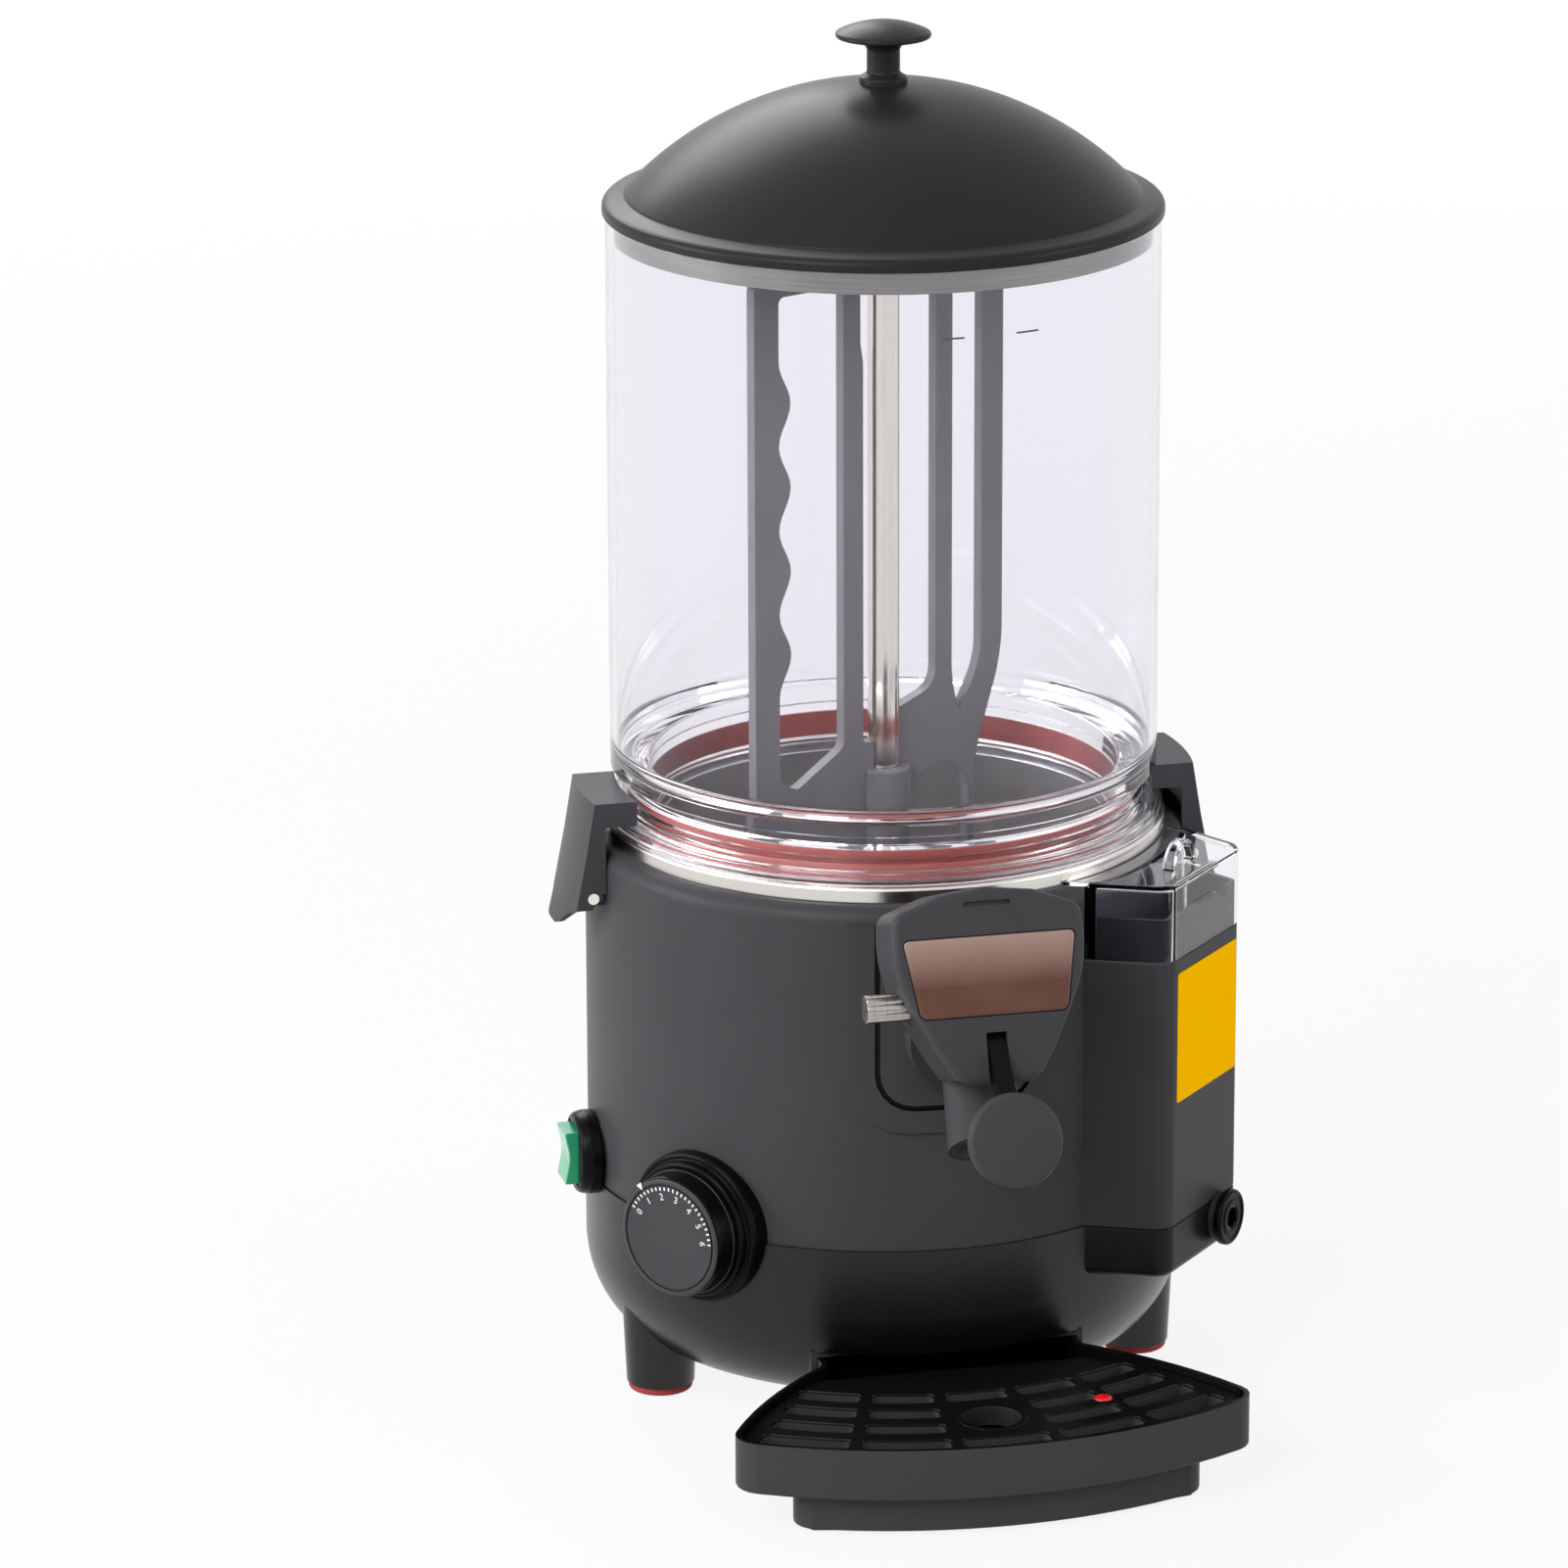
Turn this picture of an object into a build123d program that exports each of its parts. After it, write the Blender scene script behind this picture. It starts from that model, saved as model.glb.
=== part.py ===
from build123d import *
import os
from math import cos, degrees, hypot, radians, sin, sqrt, tan

os.makedirs("parts", exist_ok=True)

# Hot chocolate dispenser. Millimetres, +Z up, front toward -Y, origin on the body axis at floor level.
# Angles are counted from the front, positive toward +X.

# Clearances
running_fit = 0.05
free_gap = 0.4
seat_gap = 0.3

# Outer shells
body_radius = 126.5
shell_wall = 3.0
shell_top = 236.6
shell_shoulder = 7.0
seam_height = 88.0
seam_step = 1.2
bowl_bottom = 15.0
bowl_floor_radius = 93.7
bowl_curve_height = 42.0
bowl_lip_height = 6.0
bowl_lip_wall = 2.8
base_opening_radius = 84.0
base_plate_thickness = 1.2
base_plate_margin = 3.0
base_screw_radius = 1.6
base_screw_head_radius = 3.2
base_screw_head_height = 1.6
base_screw_count = 6
vent_slot_length = 40.0
vent_slot_width = 5.0
vent_slot_pitch = 14.0
vent_slot_count = 5

# Legs
leg_ring_radius = 108.2
front_leg_angle = 75.0
rear_leg_angle = 135.0
leg_foot_radius = 14.4
leg_top_radius = 17.0
leg_top_height = 60.0
pad_height = 3.5
pad_radius = 13.6
pad_round = 1.5
pad_plug_radius = 5.0
pad_plug_height = 6.0

# Steel tub, water jacket and heater
steel_sheet = 1.2
rim_radius = 118.9
rim_depth = 6.5
tub_radius = 102.2
tub_floor = 172.5
jacket_radius = 114.0
jacket_floor = 142.0
heater_ring_radius = 72.0
heater_tube_radius = 4.2
heater_lift = 9.0
heater_terminal_length = 22.0
heater_terminal_spacing = 24.0

# Drive
column_radius = 6.75
column_wall = 1.0
column_top = 470.0
column_tail = 2.0
shaft_radius = 4.0
bush_length = 12.0
bush_flange_radius = 8.5
bush_flange_thickness = 1.4
coupling_radius = 9.0
coupling_length = 20.0
journal_radius = 5.0
journal_length = 12.0
gearbox_length = 86.0
gearbox_width = 62.0
gearbox_height = 28.0
motor_radius = 29.0
motor_length = 44.0
motor_offset = 24.0
bracket_sheet = 2.5
bracket_post_radius = 4.0
bracket_post_ring = 52.0
bracket_radius = 60.0

# Agitator, a flat moulded frame that stands on the column
agitator_angle = -65.8
agitator_thickness = 5.0
agitator_bottom = 181.0
agitator_bar_height = 6.5
agitator_hub_radius = 11.5
blade_outer = 69.0
blade_inner = 56.5
web_valley_height = 259.0
web_valley_radius = 47.5
blade_bump_depth = 5.0
blade_bump_pitch = 35.0
blade_bump_length = 26.0
blade_bump_count = 4
blade_bump_top = 428.0
inner_bar_radius = 18.5
inner_bar_width = 9.0
inner_bar_foot = 273.0
fork_inner_radius = 31.2
fork_outer_radius = 56.4
fork_outer_width = 11.5
fork_height = 288.0
fork_foot_radius = 52.0
window_center = 28.0
window_radius = 16.0
window_height = 242.0
cap_radius = 9.5
cap_height = 5.0

# Clear jar and its gasket
jar_radius = 115.4
jar_wall = 3.0
jar_top = 500.5
neck_step = 6.9
neck_wall = 2.5
neck_rise = 20.0
flange_radius = 118.0
flange_thickness = 4.9
spigot_wall = 2.8
spigot_depth = 5.0
spigot_clearance = 0.7
ledge_rise = 23.0
ledge_slope_height = 8.0
gasket_height = 12.5

# Lid
brim_overhang = 1.3
brim_edge_height = 4.0
brim_width = 12.0
brim_round = 1.6
dome_radius = 147.7
dome_apex = 554.5
lid_wall = 2.2
skirt_depth = 9.5
skirt_wall = 1.0
skirt_clearance = 0.7
lid_knob_top = 580.0
lid_knob_radius = 19.8
lid_knob_crown = 5.0
lid_knob_edge = 2.0
lid_knob_under = 3.0
lid_stem_radius = 6.9
lid_stem_foot_radius = 10.0
lid_stem_foot_height = 2.5
lid_screw_radius = 2.5
lid_screw_head_radius = 5.0
lid_screw_head_height = 3.0
lid_screw_length = 16.0

# Side clips that hold the jar down
clip_width = 46.0
clip_cheek = 4.0
clip_wall = 2.5
clip_hook_reach = 4.2
clip_hook_height = 10.6
clip_root_gap = 1.5
clip_pivot_out = 4.0
clip_pivot_height = 218.0
clip_pin_radius = 1.6
clip_pin_head = 2.4
clip_pin_head_height = 0.7
clip_nose_radius = 4.4
clip_block_height = 20.0
clip_cheek_drop = 7.0
clip_tab_out = 5.0
clip_tab_drop = 7.0
clip_tab_half = 8.0

# Tap, built upright about its pivot pin and then leaned
tap_lean = 19.0
tap_pin_distance = 172.0
tap_pin_rise = 29.0
tap_pin_radius = 5.8
tap_pin_left = 50.0
tap_pin_right = 34.0
tap_pin_flute_radius = 1.1
tap_pin_flutes = 9
tap_pin_flute_length = 12.0
valve_offset = 20.0
valve_radius = 15.0
valve_bore = 11.0
valve_top_drop = 9.5
valve_bottom_drop = 65.0
valve_ear_inner = 13.0
valve_ear_thickness = 4.5
valve_ear_radius = 9.0
valve_ear_drop = 17.0
valve_yoke_top = 34.0
valve_yoke_bar = 4.0
valve_yoke_depth = 16.0
feed_tube_radius = 11.0
feed_tube_bore = 8.0
feed_tube_height = 182.0
feed_nut_radius = 22.0
feed_nut_step_radius = 17.0
feed_nut_depth = 8.0
feed_nut_step_depth = 6.0
piston_bottom_drop = 34.0
piston_shoulder_drop = 10.0
piston_stem_radius = 6.0
piston_neck_radius = 3.4
piston_collar_radius = 7.5
piston_collar_height = 3.0
piston_groove_height = 6.0
oring_section = 1.6
lever_hub_radius = 8.4
lever_hub_width = 24.0
lever_fork_thickness = 3.0
lever_fork_height = 5.0
lever_peg_radius = 2.5
lever_arm_width = 7.2
lever_arm_height = 8.0
push_knob_forward = 33.0
push_knob_drop = 57.0
push_knob_radius = 19.5
push_knob_thickness = 8.0
push_knob_crown = 3.0
cover_front = 15.8
cover_depth = 30.0
cover_top = 45.9
cover_bottom_drop = 34.0
cover_shoulder = 36.0
cover_waist = 18.0
cover_half_top = 40.0
cover_half_width = 41.0
cover_half_bottom = 16.0
cover_wall = 2.5
cover_slot_width = 8.6
cover_slot_drop = 13.0
cover_edge_round = 2.0
window_top = 26.5
window_bottom_drop = 6.5
window_half_top = 36.0
window_half_bottom = 29.0
window_depth = 1.4
spring_radius = 5.0
spring_wire = 0.6
spring_turns = 8

# Tap panel on the body
panel_half_angle = 20.6
panel_bottom = 140.0
panel_thickness = 1.5
panel_corner = 24.0
panel_groove_half_angle = 15.4
panel_groove_bottom = 149.7
panel_groove_corner = 16.0
panel_groove_width = 2.2
panel_groove_depth = 1.2

# Water box on the right of the front
box_angle = 48.0
box_distance = 152.5
box_half_width = 34.0
box_draft = 18.3
box_wall = 2.5
box_corner = 9.0
box_bottom = 66.0
box_top = 238.0
box_clear_height = 33.0
box_collar_height = 18.0
notch_half = 5.0
notch_depth = 6.0
notch_offset = 18.0
box_root = 106.0
clear_wall = 2.2
clear_lip = 1.1
clear_handle_radius = 11.0
clear_handle_width = 5.0
clear_handle_wall = 3.0
link_tube_radius = 7.0
link_tube_bore = 5.0
link_tube_height = 158.0
plug_offset = 14.0
plug_height = 80.0
plug_radius = 12.0
plug_head = 4.0
plug_shank_radius = 7.0
plug_shank_length = 8.0
plug_socket_radius = 4.0
plug_socket_depth = 3.0

# Thermostat dial
dial_angle = -51.0
dial_height = 90.5
dial_face_distance = 147.0
dial_radius = 26.7
dial_depth = 12.0
dial_bezel_radius = 32.5
dial_bezel_step = 3.5
dial_edge_round = 1.6
dial_bezel_depth = 7.5
dial_shaft_radius = 3.0
thermostat_size = 34.0
thermostat_depth = 20.0
thermostat_neck_radius = 5.5
thermostat_setback = 8.0

# Mains switch
switch_angle = -89.0
switch_height = 99.0
switch_radius = 18.0
switch_bezel_depth = 9.5
rocker_height = 23.0
rocker_width = 16.0
rocker_out = 5.7
rocker_pivot_inset = 5.0
rocker_pin_radius = 1.5
rocker_pin_length = 1.6
rocker_gap = 1.4
switch_body_depth = 24.0

# Drip tray
tray_bottom = 1.2
tray_step_height = 17.0
tray_top = 39.0
tray_wall = 2.2
tray_back = 96.5
tray_flare = 120.0
tray_half_back = 55.5
tray_half_front = 112.0
tray_front = 227.0
tray_arc_radius = 210.0
tray_corner = 12.0
tray_side_bow = 5.0
tray_lower_inset = 6.5
tray_lower_half_back = 44.0
tray_lower_half_front = 88.0
grille_thickness = 3.0
grille_drop = 3.0
grille_skirt = 1.8
grille_body_gap = 1.5
slot_rows = 4
slot_row_pitch = 17.0
slot_first_row = 15.0
slot_width = 9.0
slot_columns = 5
slot_column_pitch = 12.2
slot_rib = 4.5
drain_hole_radius = 12.0
float_x = 50.0
float_y = 176.0
float_pin_radius = 4.0
float_body_radius = 8.0
float_body_height = 15.0
float_proud = 1.5
bracket_wall = 2.5
bracket_rail = 5.0
bracket_rail_height = 2.5
bracket_front = 112.0

# Power inlet at the back
inlet_height = 66.0
inlet_radius = 9.0
inlet_flange_radius = 12.5
inlet_length = 9.0
inlet_flange_thickness = 3.0
inlet_bore = 4.0

# Worked-out places
bowl_radius = body_radius + seam_step
bowl_curve_top = bowl_bottom + bowl_curve_height
shell_inner = body_radius - shell_wall
rim_top = shell_top + rim_depth
neck_radius = jar_radius - neck_step
spigot_radius = tub_radius - spigot_clearance
brim_radius = jar_radius + brim_overhang
dome_center = dome_apex - dome_radius
column_bottom = jacket_floor - column_tail
gearbox_top = column_bottom - coupling_length
shaft_top = column_top + bush_flange_thickness + free_gap + agitator_bar_height + cap_height / 2
tap_pin_height = feed_tube_height + tap_pin_rise
valve_top = -valve_top_drop
valve_bottom = -valve_bottom_drop
piston_bottom = -piston_bottom_drop
piston_shoulder = -piston_shoulder_drop
cover_bottom = -cover_bottom_drop
cover_slot_top = -cover_slot_drop
window_bottom = -window_bottom_drop
clear_bottom = box_top - box_clear_height
bracket_top = tray_top + free_gap + bracket_wall
bracket_half = tray_half_back + free_gap + bracket_wall
bracket_back = tray_back - free_gap - bracket_wall


def turned(points):
    """A solid of revolution about the body axis from (radius, height) points."""
    outline = make_face(Polyline(*points, close=True))
    return revolve(Plane.XZ * outline, Axis.Z)


def ring(inner, outer, low, high):
    """A plain ring about the body axis."""
    return turned([(inner, low), (outer, low), (outer, high), (inner, high)])


def rod(radius, low, high):
    """An upright cylinder on the body axis."""
    return Pos(0, 0, (low + high) / 2) * Cylinder(radius, high - low)


def spoke(radius, start, end, height, angle=0):
    """A cylinder that points straight out from the body axis."""
    bar = Pos(0, -(start + end) / 2, height) * Rot(90, 0, 0) * Cylinder(radius, end - start)
    return Rot(0, 0, angle) * bar


def block(low, high):
    """A box from its lowest to its highest corner."""
    size = [b - a for a, b in zip(low, high)]
    middle = [(a + b) / 2 for a, b in zip(low, high)]
    return Pos(*middle) * Box(*size)


def across(radius, left, right, y, z):
    """A cylinder along X."""
    return Pos((left + right) / 2, y, z) * Rot(0, 90, 0) * Cylinder(radius, right - left)


# Lower bowl and upper shell


def bowl_profile(inset, floor):
    """The bowl's section down to its floor, moved in by a wall."""
    middle = (bowl_floor_radius, bowl_curve_top)
    reach = bowl_radius - bowl_floor_radius - inset
    drop = bowl_curve_top - floor
    return EllipticalCenterArc(middle, reach, drop, start_angle=270, arc_size=90)


def bowl_outer_solid():
    """The whole space inside the bowl's outer skin."""
    curve = bowl_profile(0, bowl_bottom)
    lines = Polyline(curve @ 1, (bowl_radius, seam_height), (0, seam_height), (0, bowl_bottom), curve @ 0)
    return revolve(Plane.XZ * make_face(curve + lines), Axis.Z)


def bowl_inner_solid():
    """The bowl's hollow, open at the floor."""
    floor = bowl_bottom + shell_wall
    curve = bowl_profile(shell_wall, floor)
    throat = shell_inner - seat_gap - bowl_lip_wall
    sketch = make_face(
        curve
        + Polyline(
            curve @ 1,
            (bowl_radius - shell_wall, seam_height - 2 * shell_wall),
            (throat, seam_height - shell_wall / 2),
            (throat, seam_height + bowl_lip_height),
            (0, seam_height + bowl_lip_height),
            (0, floor),
            curve @ 0,
        )
    )
    return revolve(Plane.XZ * sketch, Axis.Z)


def tray_notch():
    """The opening at the bowl's front that the tray bracket fills."""
    return block((-bracket_half, -2 * bowl_radius, 0), (bracket_half, -bracket_back, bracket_top))


def base_screw_places():
    ring_radius = (base_opening_radius + bowl_floor_radius - base_plate_margin) / 2
    turns = [360 * (i + 0.5) / base_screw_count for i in range(base_screw_count)]
    return [(ring_radius * sin(radians(a)), -ring_radius * cos(radians(a))) for a in turns]


def leg_places():
    angles = (-front_leg_angle, front_leg_angle, -rear_leg_angle, rear_leg_angle)
    return [(leg_ring_radius * sin(radians(a)), -leg_ring_radius * cos(radians(a))) for a in angles]


def lower_bowl():
    lip_outer = shell_inner - seat_gap
    lip = rod(lip_outer, seam_height - shell_wall, seam_height + bowl_lip_height)
    bowl = bowl_outer_solid() + lip - bowl_inner_solid()
    bowl -= rod(base_opening_radius, 0, seam_height)
    bowl -= tray_notch()
    for x, y in base_screw_places():
        bowl -= Pos(x, y, bowl_bottom) * Cylinder(base_screw_radius, 4 * shell_wall)
    bowl -= spoke(thermostat_neck_radius, shell_inner / 2, 2 * body_radius, dial_height, dial_angle)
    bowl -= spoke(inlet_radius, shell_inner / 2, 2 * body_radius, inlet_height, 180)
    return bowl - switch_opening()


def upper_shell():
    flat_end = body_radius - shell_shoulder
    lip_inner = jacket_radius + free_gap
    lip_low = shell_top - shell_wall
    shoulder_low = shell_top - shell_shoulder
    inner_round = shell_shoulder - shell_wall
    outer_arc = RadiusArc((body_radius, shoulder_low), (flat_end, shell_top), -shell_shoulder)
    inner_arc = RadiusArc((flat_end, lip_low), (shell_inner, shoulder_low), inner_round)
    edges = Line((body_radius, seam_height), (body_radius, shoulder_low))
    edges += outer_arc
    lip_corners = [(flat_end, shell_top), (lip_inner, shell_top), (lip_inner, lip_low), (flat_end, lip_low)]
    edges += Polyline(*lip_corners)
    edges += inner_arc
    edges += Polyline((shell_inner, shoulder_low), (shell_inner, seam_height), (body_radius, seam_height))
    shell = revolve(Plane.XZ * make_face(edges), Axis.Z)
    shell -= spoke(feed_tube_radius + free_gap, jacket_radius, 2 * body_radius, feed_tube_height)
    shell -= spoke(link_tube_radius + seat_gap, jacket_radius, 2 * body_radius, link_tube_height, box_angle)
    shell -= spoke(thermostat_neck_radius, jacket_radius, 2 * body_radius, dial_height, dial_angle)
    return shell - switch_opening()


def base_plate():
    radius = bowl_floor_radius - base_plate_margin
    low = bowl_bottom - base_plate_thickness
    plate = rod(radius, low, bowl_bottom)
    for x, y in base_screw_places():
        plate -= Pos(x, y, low) * Cylinder(base_screw_radius, 4 * base_plate_thickness)
    slot = extrude(SlotOverall(vent_slot_length, vent_slot_width), 4 * base_plate_thickness, both=True)
    for i in range(vent_slot_count):
        plate -= Pos(0, (i - (vent_slot_count - 1) / 2) * vent_slot_pitch, low) * slot
    return plate


def base_screws():
    head_top = bowl_bottom - base_plate_thickness
    screws = []
    for x, y in base_screw_places():
        head = Cylinder(base_screw_head_radius, base_screw_head_height)
        head = Pos(0, 0, -base_screw_head_height / 2) * head
        head = fillet(head.edges().group_by(Axis.Z)[0], base_screw_head_height / 2)
        shank_length = base_plate_thickness + shell_wall
        shank = Pos(0, 0, shank_length / 2) * Cylinder(base_screw_radius, shank_length)
        screws.append((Pos(x, y, head_top) * (head + shank)).solid())
    return Compound(screws)


def leg(place):
    """A tapered leg whose top follows the bowl's curve."""
    x, y = place
    height = leg_top_height - pad_height
    post = Pos(x, y, pad_height + height / 2) * Cone(leg_foot_radius, leg_top_radius, height)
    post -= bowl_outer_solid()
    post -= Pos(x, y, pad_height) * Cylinder(pad_plug_radius, 2 * pad_plug_height)
    return post.solids().sort_by(Axis.Z)[0]


def leg_pads():
    pads = []
    for x, y in leg_places():
        pad = Pos(0, 0, pad_height / 2) * Cylinder(pad_radius, pad_height)
        pad = fillet(pad.edges().group_by(Axis.Z)[0], pad_round)
        plug = Pos(0, 0, pad_height + pad_plug_height / 2) * Cylinder(pad_plug_radius, pad_plug_height)
        pads.append((Pos(x, y, 0) * (pad + plug)).solid())
    return Compound(pads)


# Tub, jacket, heater and drive


def tub():
    wall_outer = tub_radius + steel_sheet
    section = [
        (column_radius, tub_floor - steel_sheet),
        (wall_outer, tub_floor - steel_sheet),
        (wall_outer, rim_top - steel_sheet),
        (rim_radius - steel_sheet, rim_top - steel_sheet),
        (rim_radius - steel_sheet, shell_top),
        (rim_radius, shell_top),
        (rim_radius, rim_top),
        (tub_radius, rim_top),
        (tub_radius, tub_floor),
        (column_radius, tub_floor),
    ]
    return turned(section) - spoke(feed_tube_radius, tub_radius / 2, rim_radius, feed_tube_height)


def bath_jacket():
    inner = jacket_radius - steel_sheet
    pot = ring(inner, jacket_radius, jacket_floor, rim_top - steel_sheet)
    pot += ring(column_radius, jacket_radius, jacket_floor, jacket_floor + steel_sheet)
    pot -= spoke(feed_tube_radius, tub_radius, 2 * body_radius, feed_tube_height)
    pot -= spoke(link_tube_radius, tub_radius, 2 * body_radius, link_tube_height, box_angle)
    for x in (-heater_terminal_spacing / 2, heater_terminal_spacing / 2):
        pot -= Pos(x, heater_ring_radius, jacket_floor) * Cylinder(heater_tube_radius, 4 * steel_sheet)
    return pot


def heating_ring():
    height = jacket_floor + steel_sheet + heater_lift
    loop = Pos(0, 0, height) * Torus(heater_ring_radius, heater_tube_radius)
    for x in (-heater_terminal_spacing / 2, heater_terminal_spacing / 2):
        low = height - heater_terminal_length
        stub = Cylinder(heater_tube_radius, heater_terminal_length)
        loop += Pos(x, heater_ring_radius, (low + height) / 2) * stub
    return loop


def center_column():
    return ring(column_radius - column_wall, column_radius, column_bottom, column_top)


def shaft_bushes():
    bore = shaft_radius + running_fit
    outer = column_radius - column_wall
    upper = ring(bore, outer, column_top - bush_length, column_top)
    upper += ring(bore, bush_flange_radius, column_top, column_top + bush_flange_thickness)
    lower = ring(bore, outer, column_bottom, column_bottom + bush_length)
    lower += ring(bore, bush_flange_radius, column_bottom - bush_flange_thickness, column_bottom)
    return Compound([upper.solid(), lower.solid()])


def drive_shaft():
    return rod(shaft_radius, gearbox_top + coupling_length / 2, shaft_top)


def shaft_coupling():
    high = column_bottom - bush_flange_thickness - free_gap
    sleeve = rod(coupling_radius, gearbox_top + free_gap, high)
    sleeve += rod(journal_radius, gearbox_top - journal_length, gearbox_top + coupling_length / 2)
    return sleeve - rod(shaft_radius, gearbox_top + coupling_length / 2, column_bottom)


def gearmotor():
    low = gearbox_top - gearbox_height
    box = Pos(0, 0, low + gearbox_height / 2) * Box(gearbox_length, gearbox_width, gearbox_height)
    box = fillet(box.edges().filter_by(Axis.Z), gearbox_height / 5)
    can = Pos(motor_offset / 2, 0, low - motor_length / 2) * Cylinder(motor_radius, motor_length)
    bore = rod(journal_radius + running_fit, gearbox_top - journal_length - free_gap, gearbox_top + 1)
    return box + can - bore


def motor_bracket():
    low = gearbox_top
    plate = ring(coupling_radius + 2 * free_gap, bracket_radius, low, low + bracket_sheet)
    for i in range(3):
        turn = radians(120 * i + 60)
        x = bracket_post_ring * sin(turn)
        y = -bracket_post_ring * cos(turn)
        length = jacket_floor - low - bracket_sheet
        plate += Pos(x, y, low + bracket_sheet + length / 2) * Cylinder(bracket_post_radius, length)
    return plate


# Agitator


def agitator_plate(points):
    """A flat piece of the agitator's frame from (distance from the axis, height) points."""
    outline = make_face(Polyline(*points, close=True))
    return extrude(Plane.XZ * outline, agitator_thickness / 2, both=True)


def agitator_bar(left, right, low, high):
    return agitator_plate([(left, low), (left, high), (right, high), (right, low)])


def agitator():
    low = column_top + bush_flange_thickness + free_gap
    high = low + agitator_bar_height
    half_bar = inner_bar_width / 2
    half_fork = fork_outer_width / 2
    frame = agitator_bar(-blade_outer, -blade_inner, agitator_bottom, high)
    for center, half, foot in (
        (-inner_bar_radius, half_bar, inner_bar_foot),
        (fork_inner_radius, half_bar, fork_height),
        (fork_outer_radius, half_fork, fork_height),
    ):
        frame += agitator_bar(center - half, center + half, foot, high)
    frame += agitator_bar(-blade_outer, fork_outer_radius + half_fork, low, high)
    inner_edge = -inner_bar_radius - half_bar
    web = [
        (-blade_outer, agitator_bottom),
        (-blade_outer, web_valley_height + half_bar),
        (-blade_inner, web_valley_height + half_bar),
        (-web_valley_radius, web_valley_height),
        (inner_edge, inner_bar_foot),
        (0, inner_bar_foot),
        (0, agitator_bottom),
    ]
    frame += agitator_plate(web)
    fork = [
        (0, agitator_bottom),
        (0, fork_height - half_bar),
        (fork_inner_radius - half_bar, fork_height),
        (fork_outer_radius + half_fork, fork_height),
        (fork_foot_radius, tub_floor + (rim_top - tub_floor) * 0.8),
        (fork_foot_radius, agitator_bottom),
    ]
    frame += agitator_plate(fork)
    for i in range(blade_bump_count):
        z = blade_bump_top - i * blade_bump_pitch
        half = blade_bump_length / 2
        bottom_end = (-blade_inner, z - half)
        top_end = (-blade_inner, z + half)
        curve = ThreePointArc(bottom_end, (-blade_inner + blade_bump_depth, z), top_end)
        bump = make_face(curve + Line(top_end, bottom_end))
        frame += extrude(Plane.XZ * bump, agitator_thickness / 2, both=True)
    frame += rod(agitator_hub_radius, agitator_bottom, inner_bar_foot)
    frame += rod(agitator_hub_radius, low, high)
    arch = Rot(90, 0, 0) * Cylinder(window_radius, 4 * agitator_thickness)
    frame -= Pos(window_center, 0, window_height) * arch
    half = 2 * agitator_thickness
    low_corner = (window_center - window_radius, -half, 0)
    frame -= block(low_corner, (window_center + window_radius, half, window_height))
    frame -= rod(column_radius + free_gap, 0, column_top)
    frame -= rod(shaft_radius, column_top, high + cap_height)
    return Rot(0, 0, agitator_angle + 90) * frame


def agitator_cap():
    low = column_top + bush_flange_thickness + free_gap + agitator_bar_height
    cap = rod(cap_radius, low, low + cap_height)
    cap = fillet(cap.edges().group_by(Axis.Z)[-1], cap_height / 4)
    return cap - rod(shaft_radius, low - cap_height, shaft_top)


# Jar, gasket and lid


def jar():
    flange_top = rim_top + flange_thickness
    inner = jar_radius - jar_wall
    neck_inner = neck_radius - neck_wall
    spigot_inner = spigot_radius - spigot_wall
    groove_top = rim_top + gasket_height + seat_gap
    section = [
        (jar_radius, jar_top),
        (jar_radius, rim_top + neck_rise),
        (neck_radius, rim_top + neck_rise),
        (neck_radius, flange_top),
        (flange_radius, flange_top),
        (flange_radius, rim_top),
        (neck_inner, rim_top),
        (neck_inner, groove_top),
        (spigot_radius, groove_top),
        (spigot_radius, rim_top - spigot_depth),
        (spigot_inner, rim_top - spigot_depth),
        (spigot_inner, rim_top + ledge_rise),
        (inner, rim_top + ledge_rise + ledge_slope_height),
        (inner, jar_top),
    ]
    return turned(section)


def jar_gasket():
    inner = tub_radius + running_fit
    outer = neck_radius - neck_wall - running_fit
    return ring(inner, outer, rim_top, rim_top + gasket_height)


def lid_dome():
    hollow_radius = dome_radius - lid_wall
    rim_inner = brim_radius - brim_width
    shoulder = brim_radius - brim_width + lid_wall
    shoulder_height = dome_center + sqrt(dome_radius**2 - shoulder**2)
    hollow_height = dome_center + sqrt(hollow_radius**2 - rim_inner**2)
    edges = RadiusArc((0, dome_apex), (shoulder, shoulder_height), dome_radius)
    edges += Polyline(
        (shoulder, shoulder_height),
        (brim_radius - brim_round, jar_top + brim_edge_height + brim_round),
        (brim_radius, jar_top + brim_edge_height),
        (brim_radius, jar_top),
        (rim_inner, jar_top),
        (rim_inner, hollow_height),
    )
    edges += RadiusArc((rim_inner, hollow_height), (0, dome_apex - lid_wall), -hollow_radius)
    edges += Line((0, dome_apex - lid_wall), (0, dome_apex))
    dome = revolve(Plane.XZ * make_face(edges), Axis.Z)
    return dome - rod(lid_screw_radius, dome_apex - 4 * lid_wall, dome_apex + lid_wall)


def lid_skirt():
    outer = jar_radius - jar_wall - skirt_clearance
    return ring(outer - skirt_wall, outer, jar_top - skirt_depth, jar_top)


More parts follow.
